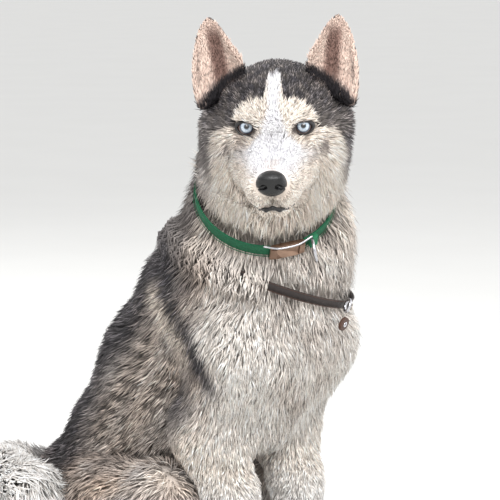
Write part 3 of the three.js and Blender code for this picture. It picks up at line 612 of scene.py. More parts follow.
def body_tone(p, n):
    """The neck and trunk: charcoal above, mottled at the sides, pale in front, with a dark stripe."""
    m = mirrored(p)
    patch = waves(p, 60, 11)
    top = ease(n @ unit((0, 0.6, 0.8)) + 0.12 * patch, -0.12, 0.5)
    tone = mixed(GREY, BEIGE, 0.6 + 0.4 * patch)
    spots = np.clip(waves(m, 17, 18) + 0.5 * patch, 0, 1)
    tone = tone * (1 - 0.62 * spots * ease(p[:, 1], 20, 110))[:, None]
    tone = mixed(tone, CHARCOAL, top * 0.85)
    front = ease(-n[:, 1], -0.05, 0.6) * ease(70 - p[:, 1], 0, 60)
    tone = mixed(tone, mixed(AGOUTI, SOFT_WHITE, 0.65 + 0.35 * waves(p, 34, 12)), front * 0.95)
    throat = ease(p[:, 2], 500, 560)
    tone = mixed(tone, mixed(AGOUTI, CREAM, 0.45 + 0.4 * waves(p, 30, 13)), throat * (1 - top * 0.6))
    tone = mixed(tone, SOFT_WHITE, near_path(m, CHEST, 33, 20) * 0.9)
    low = ease(330 - p[:, 2], 0, 70) * ease(80 - p[:, 1], 0, 50)
    tone = mixed(tone, SOFT_WHITE, low * 0.9)
    tone = mixed(tone, (0.88, 0.83, 0.78), near_path(m, PALE, 20, 12) * 0.85)
    tone = mixed(tone, CHARCOAL, near_path(m, STRIPE, 11, 8) * 0.95 * ease(p[:, 2], 330, 390))
    return tone


def low_face(p):
    """The cheeks and throat below the face, above the collar."""
    q = to_head(p)
    above = (p - COLLAR.centre) @ COLLAR.normal
    share = ease(-q[:, 2], 20, 44) * (1 - ease(np.abs(q[:, 0]), 68, 80))
    return share * (1 - ease(q[:, 1], 45, 75)) * ease(above, -2, 10)


def coat_tone(p, n, w=None):
    """The coat's colour at points p that face n, with their shares of the regions in w."""
    w = shares(p) if w is None else w
    m = mirrored(p)
    fore = mixed(CREAM, FORE_WHITE, ease(260 - p[:, 2], 0, 60))
    hind = mixed(GREY, BEIGE, 0.5 + 0.5 * waves(p, 50, 15))
    hind = mixed(hind, TAN, ease(p[:, 1], 120, 240) * (0.55 + 0.3 * waves(p, 45, 16)))
    hind = mixed(hind, CHARCOAL, ease(p[:, 1], 215, 300) * ease(p[:, 2], 150, 240) * 0.8)
    hind = mixed(hind, CREAM, np.maximum(near_path(m, KNEE, 22, 22), ease(110 - p[:, 2], 0, 60)) * 0.85)
    hind = mixed(hind, FOOT_WHITE, ease(70 - p[:, 2], 0, 40))
    brush = mixed(BRUSH_WHITE, BRUSH_GREY, ease(p[:, 0], -85, -30) * 0.7)
    white = np.tile(FOOT_WHITE, (len(p), 1))
    body_part = body_tone(p, n)
    parts = [head_tone(p), body_part, body_part, fore, white, hind, white, brush]
    tone = sum(w[:, i:i + 1] * part for i, part in enumerate(parts))
    tone = mixed(tone, mixed(CREAM, (0.86, 0.80, 0.75), 0.3 + 0.4 * waves(p, 26, 17)), low_face(p) * 0.95)
    return np.clip(tone, 0.02, 1)


# Skin: the whole body on a coarse grid, and the head again on a fine one over it
def body_skin(p):
    above = (p - HEAD_CUT) @ HEAD_UP
    return skin_field(p) + 2.5 * ease(above, 0, 25)


def head_skin(p):
    d = upper(p)
    near = d < 40
    out = d + 6
    if near.any():
        out[near] = fine_head(p[near])
    return np.maximum(out, (HEAD_CUT - p) @ HEAD_UP)


BODY_STEP, HEAD_STEP, LOWEST_SKIN = 6.5, 2.8, 0.6
body_verts, body_quads = nets(body_skin, (-235, -160, -6), (185, 490, 780), BODY_STEP)
head_verts, head_quads = nets(head_skin, (-215, -215, 560), (75, 75, 790), HEAD_STEP)
body_verts[:, 2] = np.maximum(body_verts[:, 2], LOWEST_SKIN)
skin_verts = np.vstack([body_verts, head_verts])
skin_quads = np.vstack([body_quads, head_quads + len(body_verts)])


def vertex_normals(verts, quads):
    a, b, c, d = (verts[quads[:, i]] for i in range(4))
    face = np.cross(c - a, d - b)
    total = np.zeros_like(verts)
    for i in range(4):
        total += gather(quads[:, i], face, len(verts))
    return normed(total)


skin_normals = vertex_normals(skin_verts, skin_quads)
LIMBS = ("foreleg", "forefoot", "hindleg", "hindfoot")
FLESH = ["head", "neck", "torso", "tail"] + [f"{part}_{side}" for part in LIMBS for side, _ in SIDES]
# Painted shade: the skin seen between the tufts is darkened to stand for the shade deep in the coat
SKIN_PAINTED_SHADE = 0.92
skin_tone = coat_tone(skin_verts, skin_normals) * SKIN_PAINTED_SHADE
skin = make("skin", skin_verts, skin_quads, SKIN, FLESH, tone=skin_tone)


def unwrap(thing):
    """A map of the thing's own shape, called OFBake; gives its corners' places by face."""
    thing.data.uv_layers.new(name="OFBake")
    bpy.ops.object.select_all(action="DESELECT")
    thing.select_set(True)
    bpy.context.view_layer.objects.active = thing
    bpy.ops.object.mode_set(mode="EDIT")
    bpy.ops.mesh.select_all(action="SELECT")
    bpy.ops.uv.smart_project(angle_limit=math.radians(72), island_margin=0.001)
    bpy.ops.object.mode_set(mode="OBJECT")
    return read(thing.data.uv_layers["OFBake"].data, "uv", 2)


skin_uv = unwrap(skin).reshape(-1, 4, 2)


# Tufts: solid bent blades, each from a root on a triangle of the skin
def scatter(verts, tris, uvs, count, favour=None):
    """Random places on triangles: their points, normals and map places."""
    a, b, c = (verts[tris[:, i]] for i in range(3))
    weight = norm(np.cross(b - a, c - a), axis=1)
    if favour is not None:
        weight = weight * favour((a + b + c) / 3)
    pick = rng.choice(len(tris), count, p=weight / weight.sum())
    r1, r2 = np.sqrt(rng.random(count)), rng.random(count)
    k = np.column_stack([1 - r1, r1 * (1 - r2), r1 * r2])
    spot = lambda values: (values * k[:, :, None]).sum(axis=1)
    normal = normed(np.cross((b - a)[pick], (c - a)[pick]))
    return spot(verts[tris[pick]]), normal, spot(uvs[pick])


BLADE_FACES = np.array([
    (0, 2, 1), (0, 1, 4), (0, 4, 3), (1, 2, 5), (1, 5, 4), (2, 0, 3), (2, 3, 5),
    (3, 4, 6), (4, 5, 6), (5, 3, 6),
])
BLADE_MAP = np.array([(-1, -1), (0, -1), (1, -1), (-1, 0.2), (0, 0.2), (1, 0.2), (0, 1)]) * 0.0015
ROOT_SINK, LOWEST_HAIR = 1.2, 0.25


def blades(name, root, normal, lie, length, width, mid, tip, tone, tips, uv):
    """Three-sided blades, two rings and a tip each, closed under the root."""
    across = normed(np.cross(lie, normal))
    count = len(root)
    ring = lambda at, wide: [at - across * wide / 2, at + normal * wide * 0.32, at + across * wide / 2]
    low = ring(root - normal * ROOT_SINK, (width * 0.75)[:, None])
    high = ring(mid, width[:, None])
    verts = np.stack([*low, *high, tip], axis=1)
    verts[:, :, 2] = np.maximum(verts[:, :, 2], LOWEST_HAIR)
    faces = (BLADE_FACES[None] + np.arange(count)[:, None, None] * 7).reshape(-1, 3)
    # Painted shade: each blade's root ring is darker, for the shade deep in the coat, and less so on pale fur
    root_shade = tone * (0.6 + 0.3 * tone.mean(axis=1, keepdims=True))
    shades = np.clip(np.stack([root_shade] * 3 + [tone * 0.97] * 3 + [tips], axis=1).reshape(-1, 3), 0.01, 1)
    places = (uv[:, None] + BLADE_MAP[None]).reshape(-1, 2)
    return make(name, verts.reshape(-1, 3), faces, COAT, tone=shades, uv=places, uv_name="OFBake")


def hoop(spec):
    """Places round a collar: degrees from its front, millimetres out from its hoop, and millimetres up."""
    u = spec.front - spec.centre
    u = unit(u - (u @ spec.normal) * spec.normal)
    w = -unit(np.cross(u, spec.normal))

    def place(turn, out, up):
        turn, out, up = np.broadcast_arrays(np.radians(turn), out, up)
        reach = (spec.radius + out)[..., None]
        spoke = np.cos(turn)[..., None] * u + np.sin(turn)[..., None] * w
        return spec.centre + spoke * reach + up[..., None] * spec.normal
    return place


def off_hoop(p, spec):
    """How far points lie up from a hoop's plane, and out from the hoop."""
    away = p - spec.centre
    up = away @ spec.normal
    return up, norm(away - up[:, None] * spec.normal, axis=1) - spec.radius


def in_band(p, spec, half):
    """Where points are in the way of a collar that is twice half wide."""
    up, out = off_hoop(p, spec)
    return (np.abs(up) < half) & (out > -16) & (out < 40)


def bare_slip(p):
    """1 where the slip collar lies open to view, at its front, and 0 where the ruff hides it."""
    u = unit(SLIP.front - SLIP.centre)
    w = -unit(np.cross(u, SLIP.normal))
    away = p - SLIP.centre
    turn = np.degrees(np.arctan2(away @ w, away @ u))
    return ease(turn, -18, -4) * (1 - ease(turn, 78, 96))


def cover(p):
    """How much higher the ruff stands where it hides the slip collar."""
    up, out = off_hoop(p, SLIP)
    return 17 * (out < 40) * (1 - ease(np.abs(up + 3), 12, 26)) * (1 - bare_slip(p))


TAIL_WAYS = np.array([unit(b - a) for a, b in zip(TAIL_PATH, TAIL_PATH[1:])])
TAIL_MIDS = np.array([(a + b) / 2 for a, b in zip(TAIL_PATH, TAIL_PATH[1:])])


def laid(lie, normal):
    return normed(lie - (lie * normal).sum(axis=1, keepdims=True) * normal)


def lie_of(p, w):
    """The way that the coat lies at each point."""
    q = to_head(p)
    from_nose = normed(q - np.array([0, -112, -36]))
    down = ease(np.abs(q[:, 0]), 30, 60) * ease(-q[:, 2], -10, 30)
    to_cheek = columns(np.sign(q[:, 0]) * 0.25, 0.2, -0.9)
    on_face = from_nose + down[:, None] * to_cheek
    base = ear_base(q)[:, None]
    over_ear = columns(np.sign(q[:, 0]) * 0.55, -0.15, 0.8)
    on_face = normed(normed(on_face) * (1 - base) + over_ear * base * 1.5) @ HEAD_TURN.T
    aft = ease(p[:, 1], -30, 130)
    neck_way = columns(0, 0.1 + 0.4 * aft, -0.9)
    trunk_way = columns(0, 0.15 + 0.75 * aft, -1 + 0.35 * aft)
    nearest = np.argmin(norm(p[:, None] - TAIL_MIDS[None], axis=2), axis=1)
    fixed = lambda *v: np.tile(unit(v), (len(p), 1))
    ways = [on_face, neck_way, trunk_way, fixed(0, 0.1, -1), fixed(0, -0.8, -0.6), fixed(0, 0.4, -0.92),
            fixed(0, -1, -0.15), TAIL_WAYS[nearest]]
    return sum(w[:, i:i + 1] * way for i, way in enumerate(ways))


skin_tris = np.vstack([skin_quads[:, [0, 1, 2]], skin_quads[:, [0, 2, 3]]])
tri_uv = np.vstack([skin_uv[:, [0, 1, 2]], skin_uv[:, [0, 2, 3]]])
on_body = np.concatenate([np.arange(len(skin_quads)) < len(body_quads)] * 2)
nose_shape = in_head(egg(NOSE_AT, NOSE_HALF))
EYE_ROOTS, EYE_MIDS, EYE_TIPS = (13.0, 9.0), (11.5, 7.8), (10.5, 7.0)
COLLAR_FREE, SLIP_FREE = (COLLAR, 10.5, 0.03), (SLIP, 6.0, 0.08)
HIDING = 0.93
LIE_SCATTER, LIE_WAVES, TONE_SCATTER, TONE_WAVES = 0.16, 0.22, 0.09, 0.06
DARK_CHANCE, PALE_CHANCE, STREAK_CHANCE = 0.33, 0.22, 0.3
DARK_TIP, PALE_TIP, STREAK_TIP, PLAIN_TIP = 0.42, 1.25, 2.4, 1.06


def grow(name, count, head_part, favour, stretch=1.0):
    """One piece of the coat: count tufts where favour says, less those that something worn displaces."""
    chosen = on_body != head_part
    root, normal, uv = scatter(skin_verts, skin_tris[chosen], tri_uv[chosen], count, favour)
    if not head_part:
        hidden = ((root - HEAD_CUT) @ HEAD_UP > 16) & (upper(root) < 6)
        root, normal, uv = root[~hidden], normal[~hidden], uv[~hidden]
    w = shares(root)
    if not head_part:
        normal = slope(whole, root, 3)
    depth = by_region(root, w, *DEPTH)
    size = 1 + 0.25 * rng.normal(size=len(root)).clip(-1.6, 1.6)
    length = by_region(root, w, *LENGTH) * size * stretch
    width = by_region(root, w, *WIDTH) * (0.7 + 0.6 * rng.random(len(root)))
    by_ear = ear_base(to_head(root)) * w[:, 0]
    length = length + 9 * by_ear
    lie = lie_of(root, w) + LIE_SCATTER * rng.normal(size=root.shape)
    lie += LIE_WAVES * np.column_stack([waves(root, 42, 20 + k) for k in range(3)])
    lie = laid(lie, normal)
    clump = 0.12 * waves(root, 11, 31)
    field = lambda p: whole(p) + depth
    mid, tip = root + lie * (length * 0.5)[:, None], root + lie * (length * 0.97)[:, None]
    lift = (0.75 + clump + 0.2 * rng.random(len(root)), 0.95 + clump * 1.6 + 0.3 * rng.random(len(root)))
    mid += normal * np.clip(depth * 0.8 * lift[0] - field(mid), -14, 14)[:, None]
    on_head_now = to_head(root)
    puff = 7 * ease(np.abs(on_head_now[:, 0]), 44, 60) * ease(18 - on_head_now[:, 2], 0, 20) * w[:, 0]
    tip += normal * np.clip(depth * lift[1] + 6 * by_ear + puff + cover(tip) - field(tip), -24, 24)[:, None]
    mid += normal * (0.4 * puff + cover(mid))[:, None]
    keep = (nose_shape(root) > 1.5) & (field(tip) < depth * 1.5 + 8 + 12 * by_ear + puff + cover(tip))
    keep &= nose_shape(tip) > 0.8
    for place, (wide, tall) in ((root, EYE_ROOTS), (mid, EYE_MIDS), (tip, EYE_TIPS)):
        q = to_head(place)
        keep &= (np.hypot((np.abs(q[:, 0]) - EYE_CENTRE[0]) / wide, q[:, 2] / tall) > 1) | (q[:, 1] > 20)
    keep &= mouth_groove(root) > 0.5
    stray = rng.random(len(root))
    for spec, half, share in (COLLAR_FREE, SLIP_FREE):
        for t in (0.0, 0.35, 0.7, 1.0):
            at = mid + (tip - mid) * (t * 2 - 1) if t > 0.5 else root + (mid - root) * t * 2
            free = (stray < share) | (norm(at - spec.centre, axis=1) > spec.radius + 45)
            if spec is SLIP:
                free |= (bare_slip(at) < 0.5) & (stray < HIDING)
            keep &= ~in_band(at, spec, half) | free
    kept = [v[keep] for v in (root, normal, uv, lie, length, width, mid, tip, w)]
    root, normal, uv, lie, length, width, mid, tip, w = kept
    tone = coat_tone((root + tip) / 2, normal, w)
    uneven = TONE_SCATTER * rng.normal(size=(len(root), 1)) + TONE_WAVES * waves(root, 13, 41)[:, None]
    tone = tone * (1 + uneven)
    plain = np.maximum(w[:, 3] + w[:, 4] + w[:, 6] + 0.7 * w[:, 0], low_face(root))
    dark = (rng.random(len(root)) < DARK_CHANCE * (1 - plain)) & (tone.mean(axis=1) < 0.8)
    deep = tone.mean(axis=1) < 0.4
    pale = (rng.random(len(root)) < np.where(deep, STREAK_CHANCE, PALE_CHANCE)) & ~dark
    lighter = np.where(deep, STREAK_TIP, PALE_TIP)
    tips = tone * np.where(dark, DARK_TIP, np.where(pale, lighter, PLAIN_TIP))[:, None]
    return blades(name, root, normal, lie, length, width, mid, tip, tone, tips, uv)


def region(*which):
    return lambda p: shares(p)[:, list(which)].sum(axis=1) + 1e-6


def face_first(p):
    return (0.4 + 1.8 * (1 - ease(to_head(p)[:, 1], 0, 50))) * ((p - HEAD_CUT) @ HEAD_UP > 4)


def crown_first(p):
    return 0.6 + 0.4 * ease(to_head(p)[:, 1], 0, 30) * ((p - HEAD_CUT) @ HEAD_UP > 2)


MANY_TUFTS, TRUNK_TUFTS, CHEST_TUFTS, FEW_TUFTS = 19500, 15000, 14000, 9000
CHEST_END = 110
grow("coat_face", MANY_TUFTS, True, face_first)
grow("coat_head", MANY_TUFTS, True, crown_first)
grow("coat_neck", MANY_TUFTS, False, region(0, 1))
grow("coat_chest", CHEST_TUFTS, False, lambda p: region(2)(p) * (p[:, 1] < CHEST_END))
grow("coat_back", TRUNK_TUFTS, False, lambda p: region(2)(p) * (p[:, 1] >= CHEST_END))
grow("coat_forelegs", TRUNK_TUFTS, False, region(3, 4))
grow("coat_hindlegs", MANY_TUFTS, False, region(5, 6))
grow("coat_tail", FEW_TUFTS, False, region(7))


def node_mesh(name):
    """A CAD node's points in the pose's millimetres, and its triangles."""
    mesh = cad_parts[name].data
    co = read(mesh.vertices, "co", 3)
    mesh.calc_loop_triangles()
    tris = read(mesh.loop_triangles, "vertices", 3, np.int32)
    points, index = np.unique(np.round(co * 1000, 3), axis=0, return_inverse=True)
    tris = index.ravel()[tris]
    tris = tris[(tris[:, 0] != tris[:, 1]) & (tris[:, 1] != tris[:, 2]) & (tris[:, 0] != tris[:, 2])]
    return points - SHIFT, tris


def settle(thing, modifier):
    bpy.context.view_layer.objects.active = thing
    bpy.ops.object.modifier_apply(modifier=modifier)


def smoother(thing, levels):
    thing.modifiers.new("smooth", "SUBSURF").levels = levels
    thing.modifiers["smooth"].render_levels = levels
    settle(thing, "smooth")
    return thing


# Ears: the CAD's cups, made smooth, with short fur outside and longer pale hair inside
EAR_FOOT, EAR_TALL = 34, 95


def ear_tone(p, n, out_x):
    """Outside charcoal, inside pinkish cream with a brown middle, and a black band across the root."""
    q, face = to_head(p), n @ HEAD_TURN
    inside = ease(-face[:, 1] + 0.25 * out_x * face[:, 0], 0.0, 0.5)
    up = (q[:, 2] - EAR_FOOT) / EAR_TALL
    middle = 1 - ease(np.abs(np.abs(q[:, 0]) - (66 + 9 * up)), 4, 13)
    brown = middle * ease(up, -0.2, 0.15) * (1 - ease(up, 0.62, 0.9)) * 0.85
    cup = mixed((0.85, 0.76, 0.71), (0.42, 0.32, 0.29), brown)
    cup = mixed(cup, (0.45, 0.41, 0.41), ease(up, 0.9, 1.02) * 0.7)
    outside = mixed((0.20, 0.18, 0.18), (0.34, 0.29, 0.27), 0.5 + 0.5 * waves(p, 16, 50))
    whole_ear = mixed(outside, cup, inside)
    flat = columns(np.abs(q[:, 0]), 0, q[:, 2] + 12 + 1.5 * waves(p, 7, 51))
    return mixed(whole_ear, (0.14, 0.13, 0.14), near_path(flat, EAR_BASE, 7, 4)), inside


for side, sign in SIDES:
    verts, tris = node_mesh(f"ear_{side}")
    ear = make(f"ear_skin_{side}", verts, tris, SKIN, [f"ear_{side}"])
    smoother(ear, 1)
    points = read(ear.data.vertices, "co", 3) * 1000 - SHIFT
    paint(ear.data, ear_tone(points, read(ear.data.vertices, "normal", 3), sign)[0])
    ear_uv = unwrap(ear)
    ear.data.calc_loop_triangles()
    loops = read(ear.data.loop_triangles, "loops", 3, np.int32)
    corners = read(ear.data.loops, "vertex_index", 1, np.int32).ravel()
    root, normal, uv = scatter(points, corners[loops], ear_uv[loops], FEW_TUFTS)
    tone, inside = ear_tone(root, normal, sign)
    q = to_head(root)
    up = np.clip((q[:, 2] - EAR_FOOT) / EAR_TALL, 0, 1)
    edge_way = np.sign(q[:, 0]) * np.where(np.abs(q[:, 0]) > 70 + 6 * up, 1.0, -1.0)
    lie = columns(inside * edge_way * 0.12, -0.1 * inside, 1.0)
    lie = laid((lie + 0.14 * rng.normal(size=root.shape)) @ HEAD_TURN.T, normal)
    length = (7 + 5 * inside * (1 - up)) * (1 - 0.45 * up) * rng.uniform(0.7, 1.2, len(root))
    width = rng.uniform(0.8, 1.5, len(root))
    mid = root + lie * (length * 0.5)[:, None] + normal * 0.9
    tip = root + lie * length[:, None] + normal * (1.1 + 0.8 * inside * (1 - up))[:, None]
    tone = tone * (1 + 0.07 * rng.normal(size=(len(root), 1)))
    blades(f"coat_ear_{side}", root, normal, lie, length, width, mid, tip, tone, tone * 1.15, uv)


# Eyes: a ball with a pale iris and a pupil, looking at the camera, and a dark rim of two lids
AZIMUTH, ELEVATION = math.radians(-45), math.radians(8)
TO_CAMERA = np.array([
    math.sin(AZIMUTH) * math.cos(ELEVATION), -math.cos(AZIMUTH) * math.cos(ELEVATION), math.sin(ELEVATION),
])
LID_STEPS = 72
LID_RINGS = ((-0.7, -1.8), (-0.2, -0.2), (0.8, 0.7), (2.3, 0.5), (3.4, -1.2), (3.0, -3.0), (0.8, -3.4))
LID_SLANT = math.radians(5)


def ball(centre, radius, axis, rings=72, segments=96):
    """A ball's points and faces, with each point's angle from the axis and round it."""
    side = unit(np.cross(axis, (0, 0, 1)))
    over = np.cross(side, axis)
    polar = np.linspace(0.002, math.pi - 0.002, rings)
    a, b = np.meshgrid(polar, whole_turn(segments), indexing="ij")
    a, b = a.ravel(), b.ravel()
    outward = np.cos(b)[:, None] * side + np.sin(b)[:, None] * over
    verts = centre + radius * (np.cos(a)[:, None] * axis + np.sin(a)[:, None] * outward)
    return verts, a, b, grid_faces(rings, segments)


def grid_faces(rows, columns, closed=False):
    """Quads between rows of points; the columns join up, and so do the rows where closed."""
    i, j = np.meshgrid(np.arange(rows if closed else rows - 1), np.arange(columns), indexing="ij")
    i, j = i.ravel(), j.ravel()
    nxt, right = (i + 1) % rows, (j + 1) % columns
    return np.column_stack([i * columns + j, nxt * columns + j, nxt * columns + right, i * columns + right])


def almond(t, grow_by):
    """A lid's outline, in the head's x and z, measured from the eye's middle."""
    x = (11.3 + grow_by) * np.cos(t)
    z = (7.7 + grow_by) * np.sin(t) * (1 - 0.18 * np.cos(t) ** 2)
    return x, z


for side, sign in SIDES:
    centre = on_head(EYE_CENTRE * (sign, 1, 1))
    forward = unit(TO_CAMERA * 0.85 + HEAD_TURN @ np.array([0, -1, 0]) * 0.15)
    verts, a, b, faces = ball(centre, EYE_RADIUS, forward)
    verts = verts + forward * (1.0 * np.exp(-(a / 0.55) ** 2))[:, None]
    a = np.degrees(a)
    streak = 0.5 + 0.5 * np.sin(b * 37 + 3 * np.sin(b * 11)) * np.sin(b * 23 + 1)
    tone = mixed((0.60, 0.65, 0.70), (0.80, 0.835, 0.865), streak * ease(a, 12, 20))
    tone = mixed(tone, (0.45, 0.53, 0.60), (1 - ease(a, 15, 22)) * 0.5)
    tone = mixed(tone, (0.16, 0.20, 0.27), ease(a, 32, 40))
    tone = mixed(tone, (0.30, 0.24, 0.22), ease(a, 42, 48))
    tone = mixed((0.01, 0.01, 0.015), tone, ease(a, 14, 16))
    make(f"eyeball_{side}", verts, faces, EYE, [f"eye_{side}"], tone=tone)
    turns = np.linspace(0, 2 * math.pi, LID_STEPS, endpoint=False)
    slant = LID_SLANT * sign
    rings = []
    for grown, level in LID_RINGS:
        x, z = almond(turns, grown)
        x, z = x * math.cos(slant) - z * math.sin(slant), x * math.sin(slant) + z * math.cos(slant)
        bulge = np.sqrt(np.maximum((EYE_RADIUS + 0.5) ** 2 - (x * 0.86) ** 2 - z ** 2, 16))
        y = EYE_CENTRE[1] - bulge - level
        rings.append(on_head(np.column_stack([sign * EYE_CENTRE[0] + x, y, z])))
    lid_faces = grid_faces(len(rings), LID_STEPS, closed=True)[:, ::-1]
    make(f"lids_{side}", np.vstack(rings), lid_faces, RIM)

# Nose: a pad of black leather with two nostrils that open to the sides, and a groove between them
NOSE_STEP, LIP_STEP = 0.9, 1.0
nostrils = both_sides(blend(
    2, egg((8.2, -108, -42), (3.9, 6, 3.0)), limb((10, -106, -43), (17, -99, -46), 2.4, 1.1),
))
pad = blend(3, egg(NOSE_AT, NOSE_HALF), egg((0, -99, -33), (15, 9, 6)))
groove = join(limb((0, -110.5, -60), (0, -111, -43), 0.9, 0.5), limb((0, -108, -64), (0, -98, -74), 1.0, 1.0))
nose_field = dig(1.5, dig(1.5, pad, nostrils), groove)
nose_verts, nose_quads = nets(nose_field, (-21, -115, -60), (21, -80, -20), NOSE_STEP)
make("nose_pad", on_head(nose_verts), nose_quads, NOSE, ["nose"])
LIP_PATH = [np.array(m, float) + (0, 1.2, -1.5) for m in MOUTH]
lip_at = in_head(chain(3, LIP_PATH, [1.2, 1.9, 2.3, 2.3, 2.3, 1.9, 1.2]))
lip_verts, lip_quads = nets(lip_at, (-190, -190, 590), (-60, -60, 640), LIP_STEP)
make("lips", lip_verts, lip_quads, RIM)

for end in ("fore", "hind"):
    for side, _ in SIDES:
        for n in range(1, 5):
            node = f"{end}claw_{side}_{n}"
            verts, tris = node_mesh(node)
            smoother(make(f"{end}claw_horn_{side}_{n}", verts, tris, HORN, [node]), 2)


# Collars: bands with rounded edges, laid round their hoops
def band(name, spec, half, thick, finish_of, node, lift=0.0, steps=240, weave=(1.6, 2.4)):
    """A strap round a hoop: its section has rounded corners, and its map is in threads of the weave."""
    r = min(thick * 0.45, 1.0)
    bends = [(0, half, -90, 0), (thick, half, 0, 90), (thick, -half, 90, 180), (0, -half, 180, 270)]
    profile = []
    for out, up, start, end in bends:
        out, up = out + (r if out == 0 else -r), up - math.copysign(r, up)
        for a in np.radians(np.linspace(start, end, 4)):
            profile.append((out + r * math.cos(a), up + r * math.sin(a)))
    profile = np.array(sorted(profile, key=lambda q: -math.atan2(q[1] / half, (q[0] - thick / 2) / thick)))
    turns = np.arange(steps) * 360 / steps
    t, k = np.meshgrid(turns, np.arange(len(profile)), indexing="ij")
    place = hoop(spec)
    verts = place(t.ravel(), lift + profile[k.ravel(), 0], profile[k.ravel(), 1])
    along = t.ravel() * math.pi / 180 * spec.radius
    uv = np.column_stack([along / weave[0], profile[k.ravel(), 1] / weave[1]])
    faces = grid_faces(steps, len(profile), closed=True)
    return make(name, verts, faces, finish_of, [node] if node else [], uv=uv)


def plate(name, spec, middle, outline, levels, finish_of, node, bevel):
    """A flat shape that follows a hoop: an outline along and up it, between two levels out."""
    outline = np.array(outline, float)
    place = hoop(spec)
    turn = middle + np.degrees(outline[:, 0] / spec.radius)
    verts = np.vstack([place(turn, level, outline[:, 1]) for level in levels])
    n = len(outline)
    ring = np.arange(n)
    nxt = (ring + 1) % n
    faces = np.column_stack([ring, nxt, n + nxt, n + ring])
    made = make(name, verts, faces, finish_of, [node] if node else [], smooth=False)
    bm = bmesh.new()
    bm.from_mesh(made.data)
    bm.verts.ensure_lookup_table()
    bm.faces.new([bm.verts[i] for i in ring])
    bm.faces.new([bm.verts[n + i] for i in ring])
    bmesh.ops.recalc_face_normals(bm, faces=bm.faces)
    bm.to_mesh(made.data)
    bm.free()
    edge = made.modifiers.new("bevel", "BEVEL")
    edge.width, edge.segments, edge.limit_method = bevel / 1000, 3, "ANGLE"
    settle(made, "bevel")
    return made


def wire(name, points, radius, finish_of, node=None, closed=True, sides=12):
    """A round wire along points, closed into a ring or with pointed ends."""
    points = np.asarray(points, float)
    ahead = np.roll(points, -1, 0) - np.roll(points, 1, 0)
    if not closed:
        ahead[0], ahead[-1] = points[1] - points[0], points[-1] - points[-2]
    ahead = normed(ahead)
    middle, quarter = points.mean(0), points[len(points) // 4]
    if closed:
        spin = unit(np.cross(quarter - middle, points[0] - middle) + 1e-6)
    else:
        spin = unit(np.cross(ahead[0], (0.3, 0.2, 1)))
    over = normed(np.cross(ahead, spin))
    flat = np.cross(over, ahead)
    a = whole_turn(sides)
    scale = np.full(len(points), radius)
    if not closed:
        scale[[0, -1]] = radius * 0.02
    outward = np.cos(a)[None, :, None] * over[:, None] + np.sin(a)[None, :, None] * flat[:, None]
    verts = (points[:, None] + scale[:, None, None] * outward).reshape(-1, 3)
    return make(name, verts, grid_faces(len(points), sides, closed), finish_of, [node] if node else [])


band("collar_band", COLLAR, 10, 4, WEBBING, "collar")
for edge, sign in (("upper", 1), ("lower", -1)):
    rim = COLLAR._replace(centre=COLLAR.centre + COLLAR.normal * 9.3 * sign)
    band(f"collar_edge_{edge}", rim, 0.9, 1.0, WEBBING, None, lift=3.7)
band("slip_band", SLIP, 6, 4, STRAP, "slip_strap", weave=(3, 3))
for edge, sign in (("upper", 1), ("lower", -1)):
    rim = SLIP._replace(centre=SLIP.centre + SLIP.normal * 4.6 * sign)
    band(f"slip_stitch_{edge}", rim, 0.45, 0.5, TAB, None, lift=3.75)
COLLAR_FRONT, RING_TURN, LOOP_TURN, SLIP_TURN = 14.0, 32.0, 37.0, 44.0
WIRE = 1.9
collar_at, slip_at = hoop(COLLAR), hoop(SLIP)
l, w = 21.0, 12.0
buckle_outline = [
    (-l, -w), (-l * 0.55, -w), (-l * 0.3, -w * 0.85), (l * 0.3, -w * 0.85), (l * 0.55, -w),
    (l, -w), (l, w * 0.9), (l * 0.5, w), (-l * 0.5, w), (-l, w * 0.9),
]
plate("buckle_body", COLLAR, COLLAR_FRONT, buckle_outline, (2.6, 8.4), BRASS, "buckle", 1.3)
for name, low, high in (("buckle_lip_left", -20, -13), ("buckle_lip_right", 13, 20)):
    outline = [(low, -9), (high, -9), (high, 8), (low, 8)]
    plate(name, COLLAR, COLLAR_FRONT, outline, (8.0, 9.6), BRASS, None, 0.5)
spread = np.linspace(-1, 1, 60)
rise = 10.8 + 4.5 * ease(np.abs(spread), 0.35, 1.0)
wire("buckle_bar", collar_at(COLLAR_FRONT + spread * 20, 8.6, rise), 1.3, STEEL, closed=False)
outline = [(-5, -9), (5, -9), (5, 9), (-5, 9)]
plate("ring_loop_web", COLLAR, LOOP_TURN, outline, (2.6, 9.5), WEBBING, "ring_loop", 1.2)
turns = whole_turn(64)
hang, across = unit((0.045, -0.237, -0.97)), unit((-0.7, -0.7, 0.14))
centre = collar_at(np.array([RING_TURN]), 18.2, 0)[0]
d_ring = centre + np.outer(13 * np.cos(turns), across) + np.outer(14 * np.sin(turns), hang)
wire("d_ring_wire", d_ring, WIRE, STEEL, "d_ring")
slip_turn = np.array([SLIP_TURN])
slip_out = unit(slip_at(slip_turn, 1, 0)[0] - slip_at(slip_turn, 0, 0)[0])
along = unit(np.cross(slip_out, SLIP.normal))
across = unit(slip_out + along)
centre = slip_at(slip_turn, 12.5, 3)[0]
slip_ring = centre + np.outer(8 * np.cos(turns), across) + np.outer(8 * np.sin(turns), SLIP.normal)
wire("slip_ring_wire", slip_ring, WIRE, STEEL, "slip_ring")


def lathe(name, centre, axis, profile, finish_of, node, segments=48):
    """A turned piece: its profile is how far out along the axis each ring lies, and its radius."""
    side = unit(np.cross(axis, (0, 0, 1)))
    over = np.cross(side, axis)
    a = whole_turn(segments)
    circle = np.cos(a)[:, None] * side + np.sin(a)[:, None] * over
    verts = np.vstack([centre + axis * out + r * circle for out, r in profile])
    return make(name, verts, grid_faces(len(profile), segments), finish_of, [node])


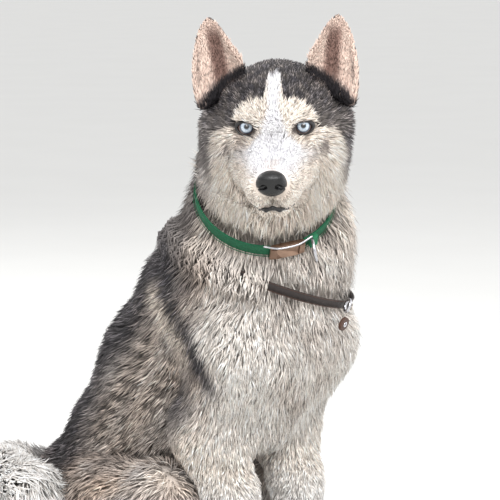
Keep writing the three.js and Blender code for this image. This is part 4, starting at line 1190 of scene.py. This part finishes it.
tab_at = slip_at(slip_turn, 17, -20)[0]
disc = [
    (-2.2, 0.05), (-2.25, 8.2), (-1.8, 8.8), (-1.0, 9.0), (1.0, 9.0), (1.8, 8.8),
    (2.25, 8.2), (2.3, 6.6), (2.0, 6.3), (2.25, 6.0), (2.25, 0.05),
]
lathe("slip_tab_disc", tab_at, slip_out, disc, TAB, "slip_tab")
eyelet = [
    (-3.1, 0.05), (-3.2, 2.4), (-3.1, 3.3), (-2.4, 3.6), (2.4, 3.6),
    (3.1, 3.3), (3.2, 2.4), (2.6, 1.7), (1.5, 1.4), (1.4, 0.05),
]
lathe("slip_eyelet_ring", tab_at, slip_out, eyelet, STEEL, "slip_eyelet")

# Stage, light and camera, in metres
FLOOR_SIZE, FLOOR_DROP = 80, 0.0004
MIDDLE = Vector((0, -0.1, 0.45))
LIGHTS = (
    ("key", (-1.6, -2.2, 2.6), 2.2, 108),
    ("fill", (2.4, -1.6, 1.4), 2.5, 28),
    ("back", (0.4, 2.6, 2.4), 2.0, 50),
)
DISTANCE, LENS, SENSOR = 3000, 180.36, 36
AIM_LEFT, AIM_DOWN = 30, 149
scene = bpy.context.scene
bpy.ops.mesh.primitive_plane_add(size=FLOOR_SIZE, location=(0, 0, -FLOOR_DROP))
floor = bpy.context.active_object
floor.name = "floor"
floor.data.materials.append(finish("floor_paint", (0.86, 0.86, 0.85), 0.9, mottle=0.03, scale=3))
floor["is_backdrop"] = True
world = bpy.data.worlds.new("studio")
world.use_nodes = True
sky = world.node_tree.nodes["Background"]
sky.inputs["Color"].default_value = (0.97, 0.97, 0.98, 1)
sky.inputs["Strength"].default_value = 1.05
scene.world = world
for name, spot, size, power in LIGHTS:
    light = bpy.data.objects.new(name, bpy.data.lights.new(name, "AREA"))
    light.data.size, light.data.energy = size, power
    light.location = spot
    light.rotation_euler = (MIDDLE - Vector(spot)).to_track_quat("-Z", "Y").to_euler()
    scene.collection.objects.link(light)
right = np.array([math.cos(AZIMUTH), math.sin(AZIMUTH), 0])
up = np.cross(TO_CAMERA, right)
aim = MID_EYE - AIM_LEFT * right - AIM_DOWN * up + SHIFT
camera = bpy.data.objects.new("camera", bpy.data.cameras.new("camera"))
camera.data.lens, camera.data.sensor_width = LENS, SENSOR
turn = Matrix([[*map(float, row)] for row in np.column_stack([right, up, TO_CAMERA])])
camera.matrix_world = Matrix.Translation(Vector((aim + TO_CAMERA * DISTANCE) / 1000)) @ turn.to_4x4()
scene.collection.objects.link(camera)
scene.camera = camera
scene.view_settings.view_transform = "Standard"

corners = lambda box: [[float(v) for v in corner] for corner in box]
{"cad": corners(CAD_BOX), "visual": corners(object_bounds())}
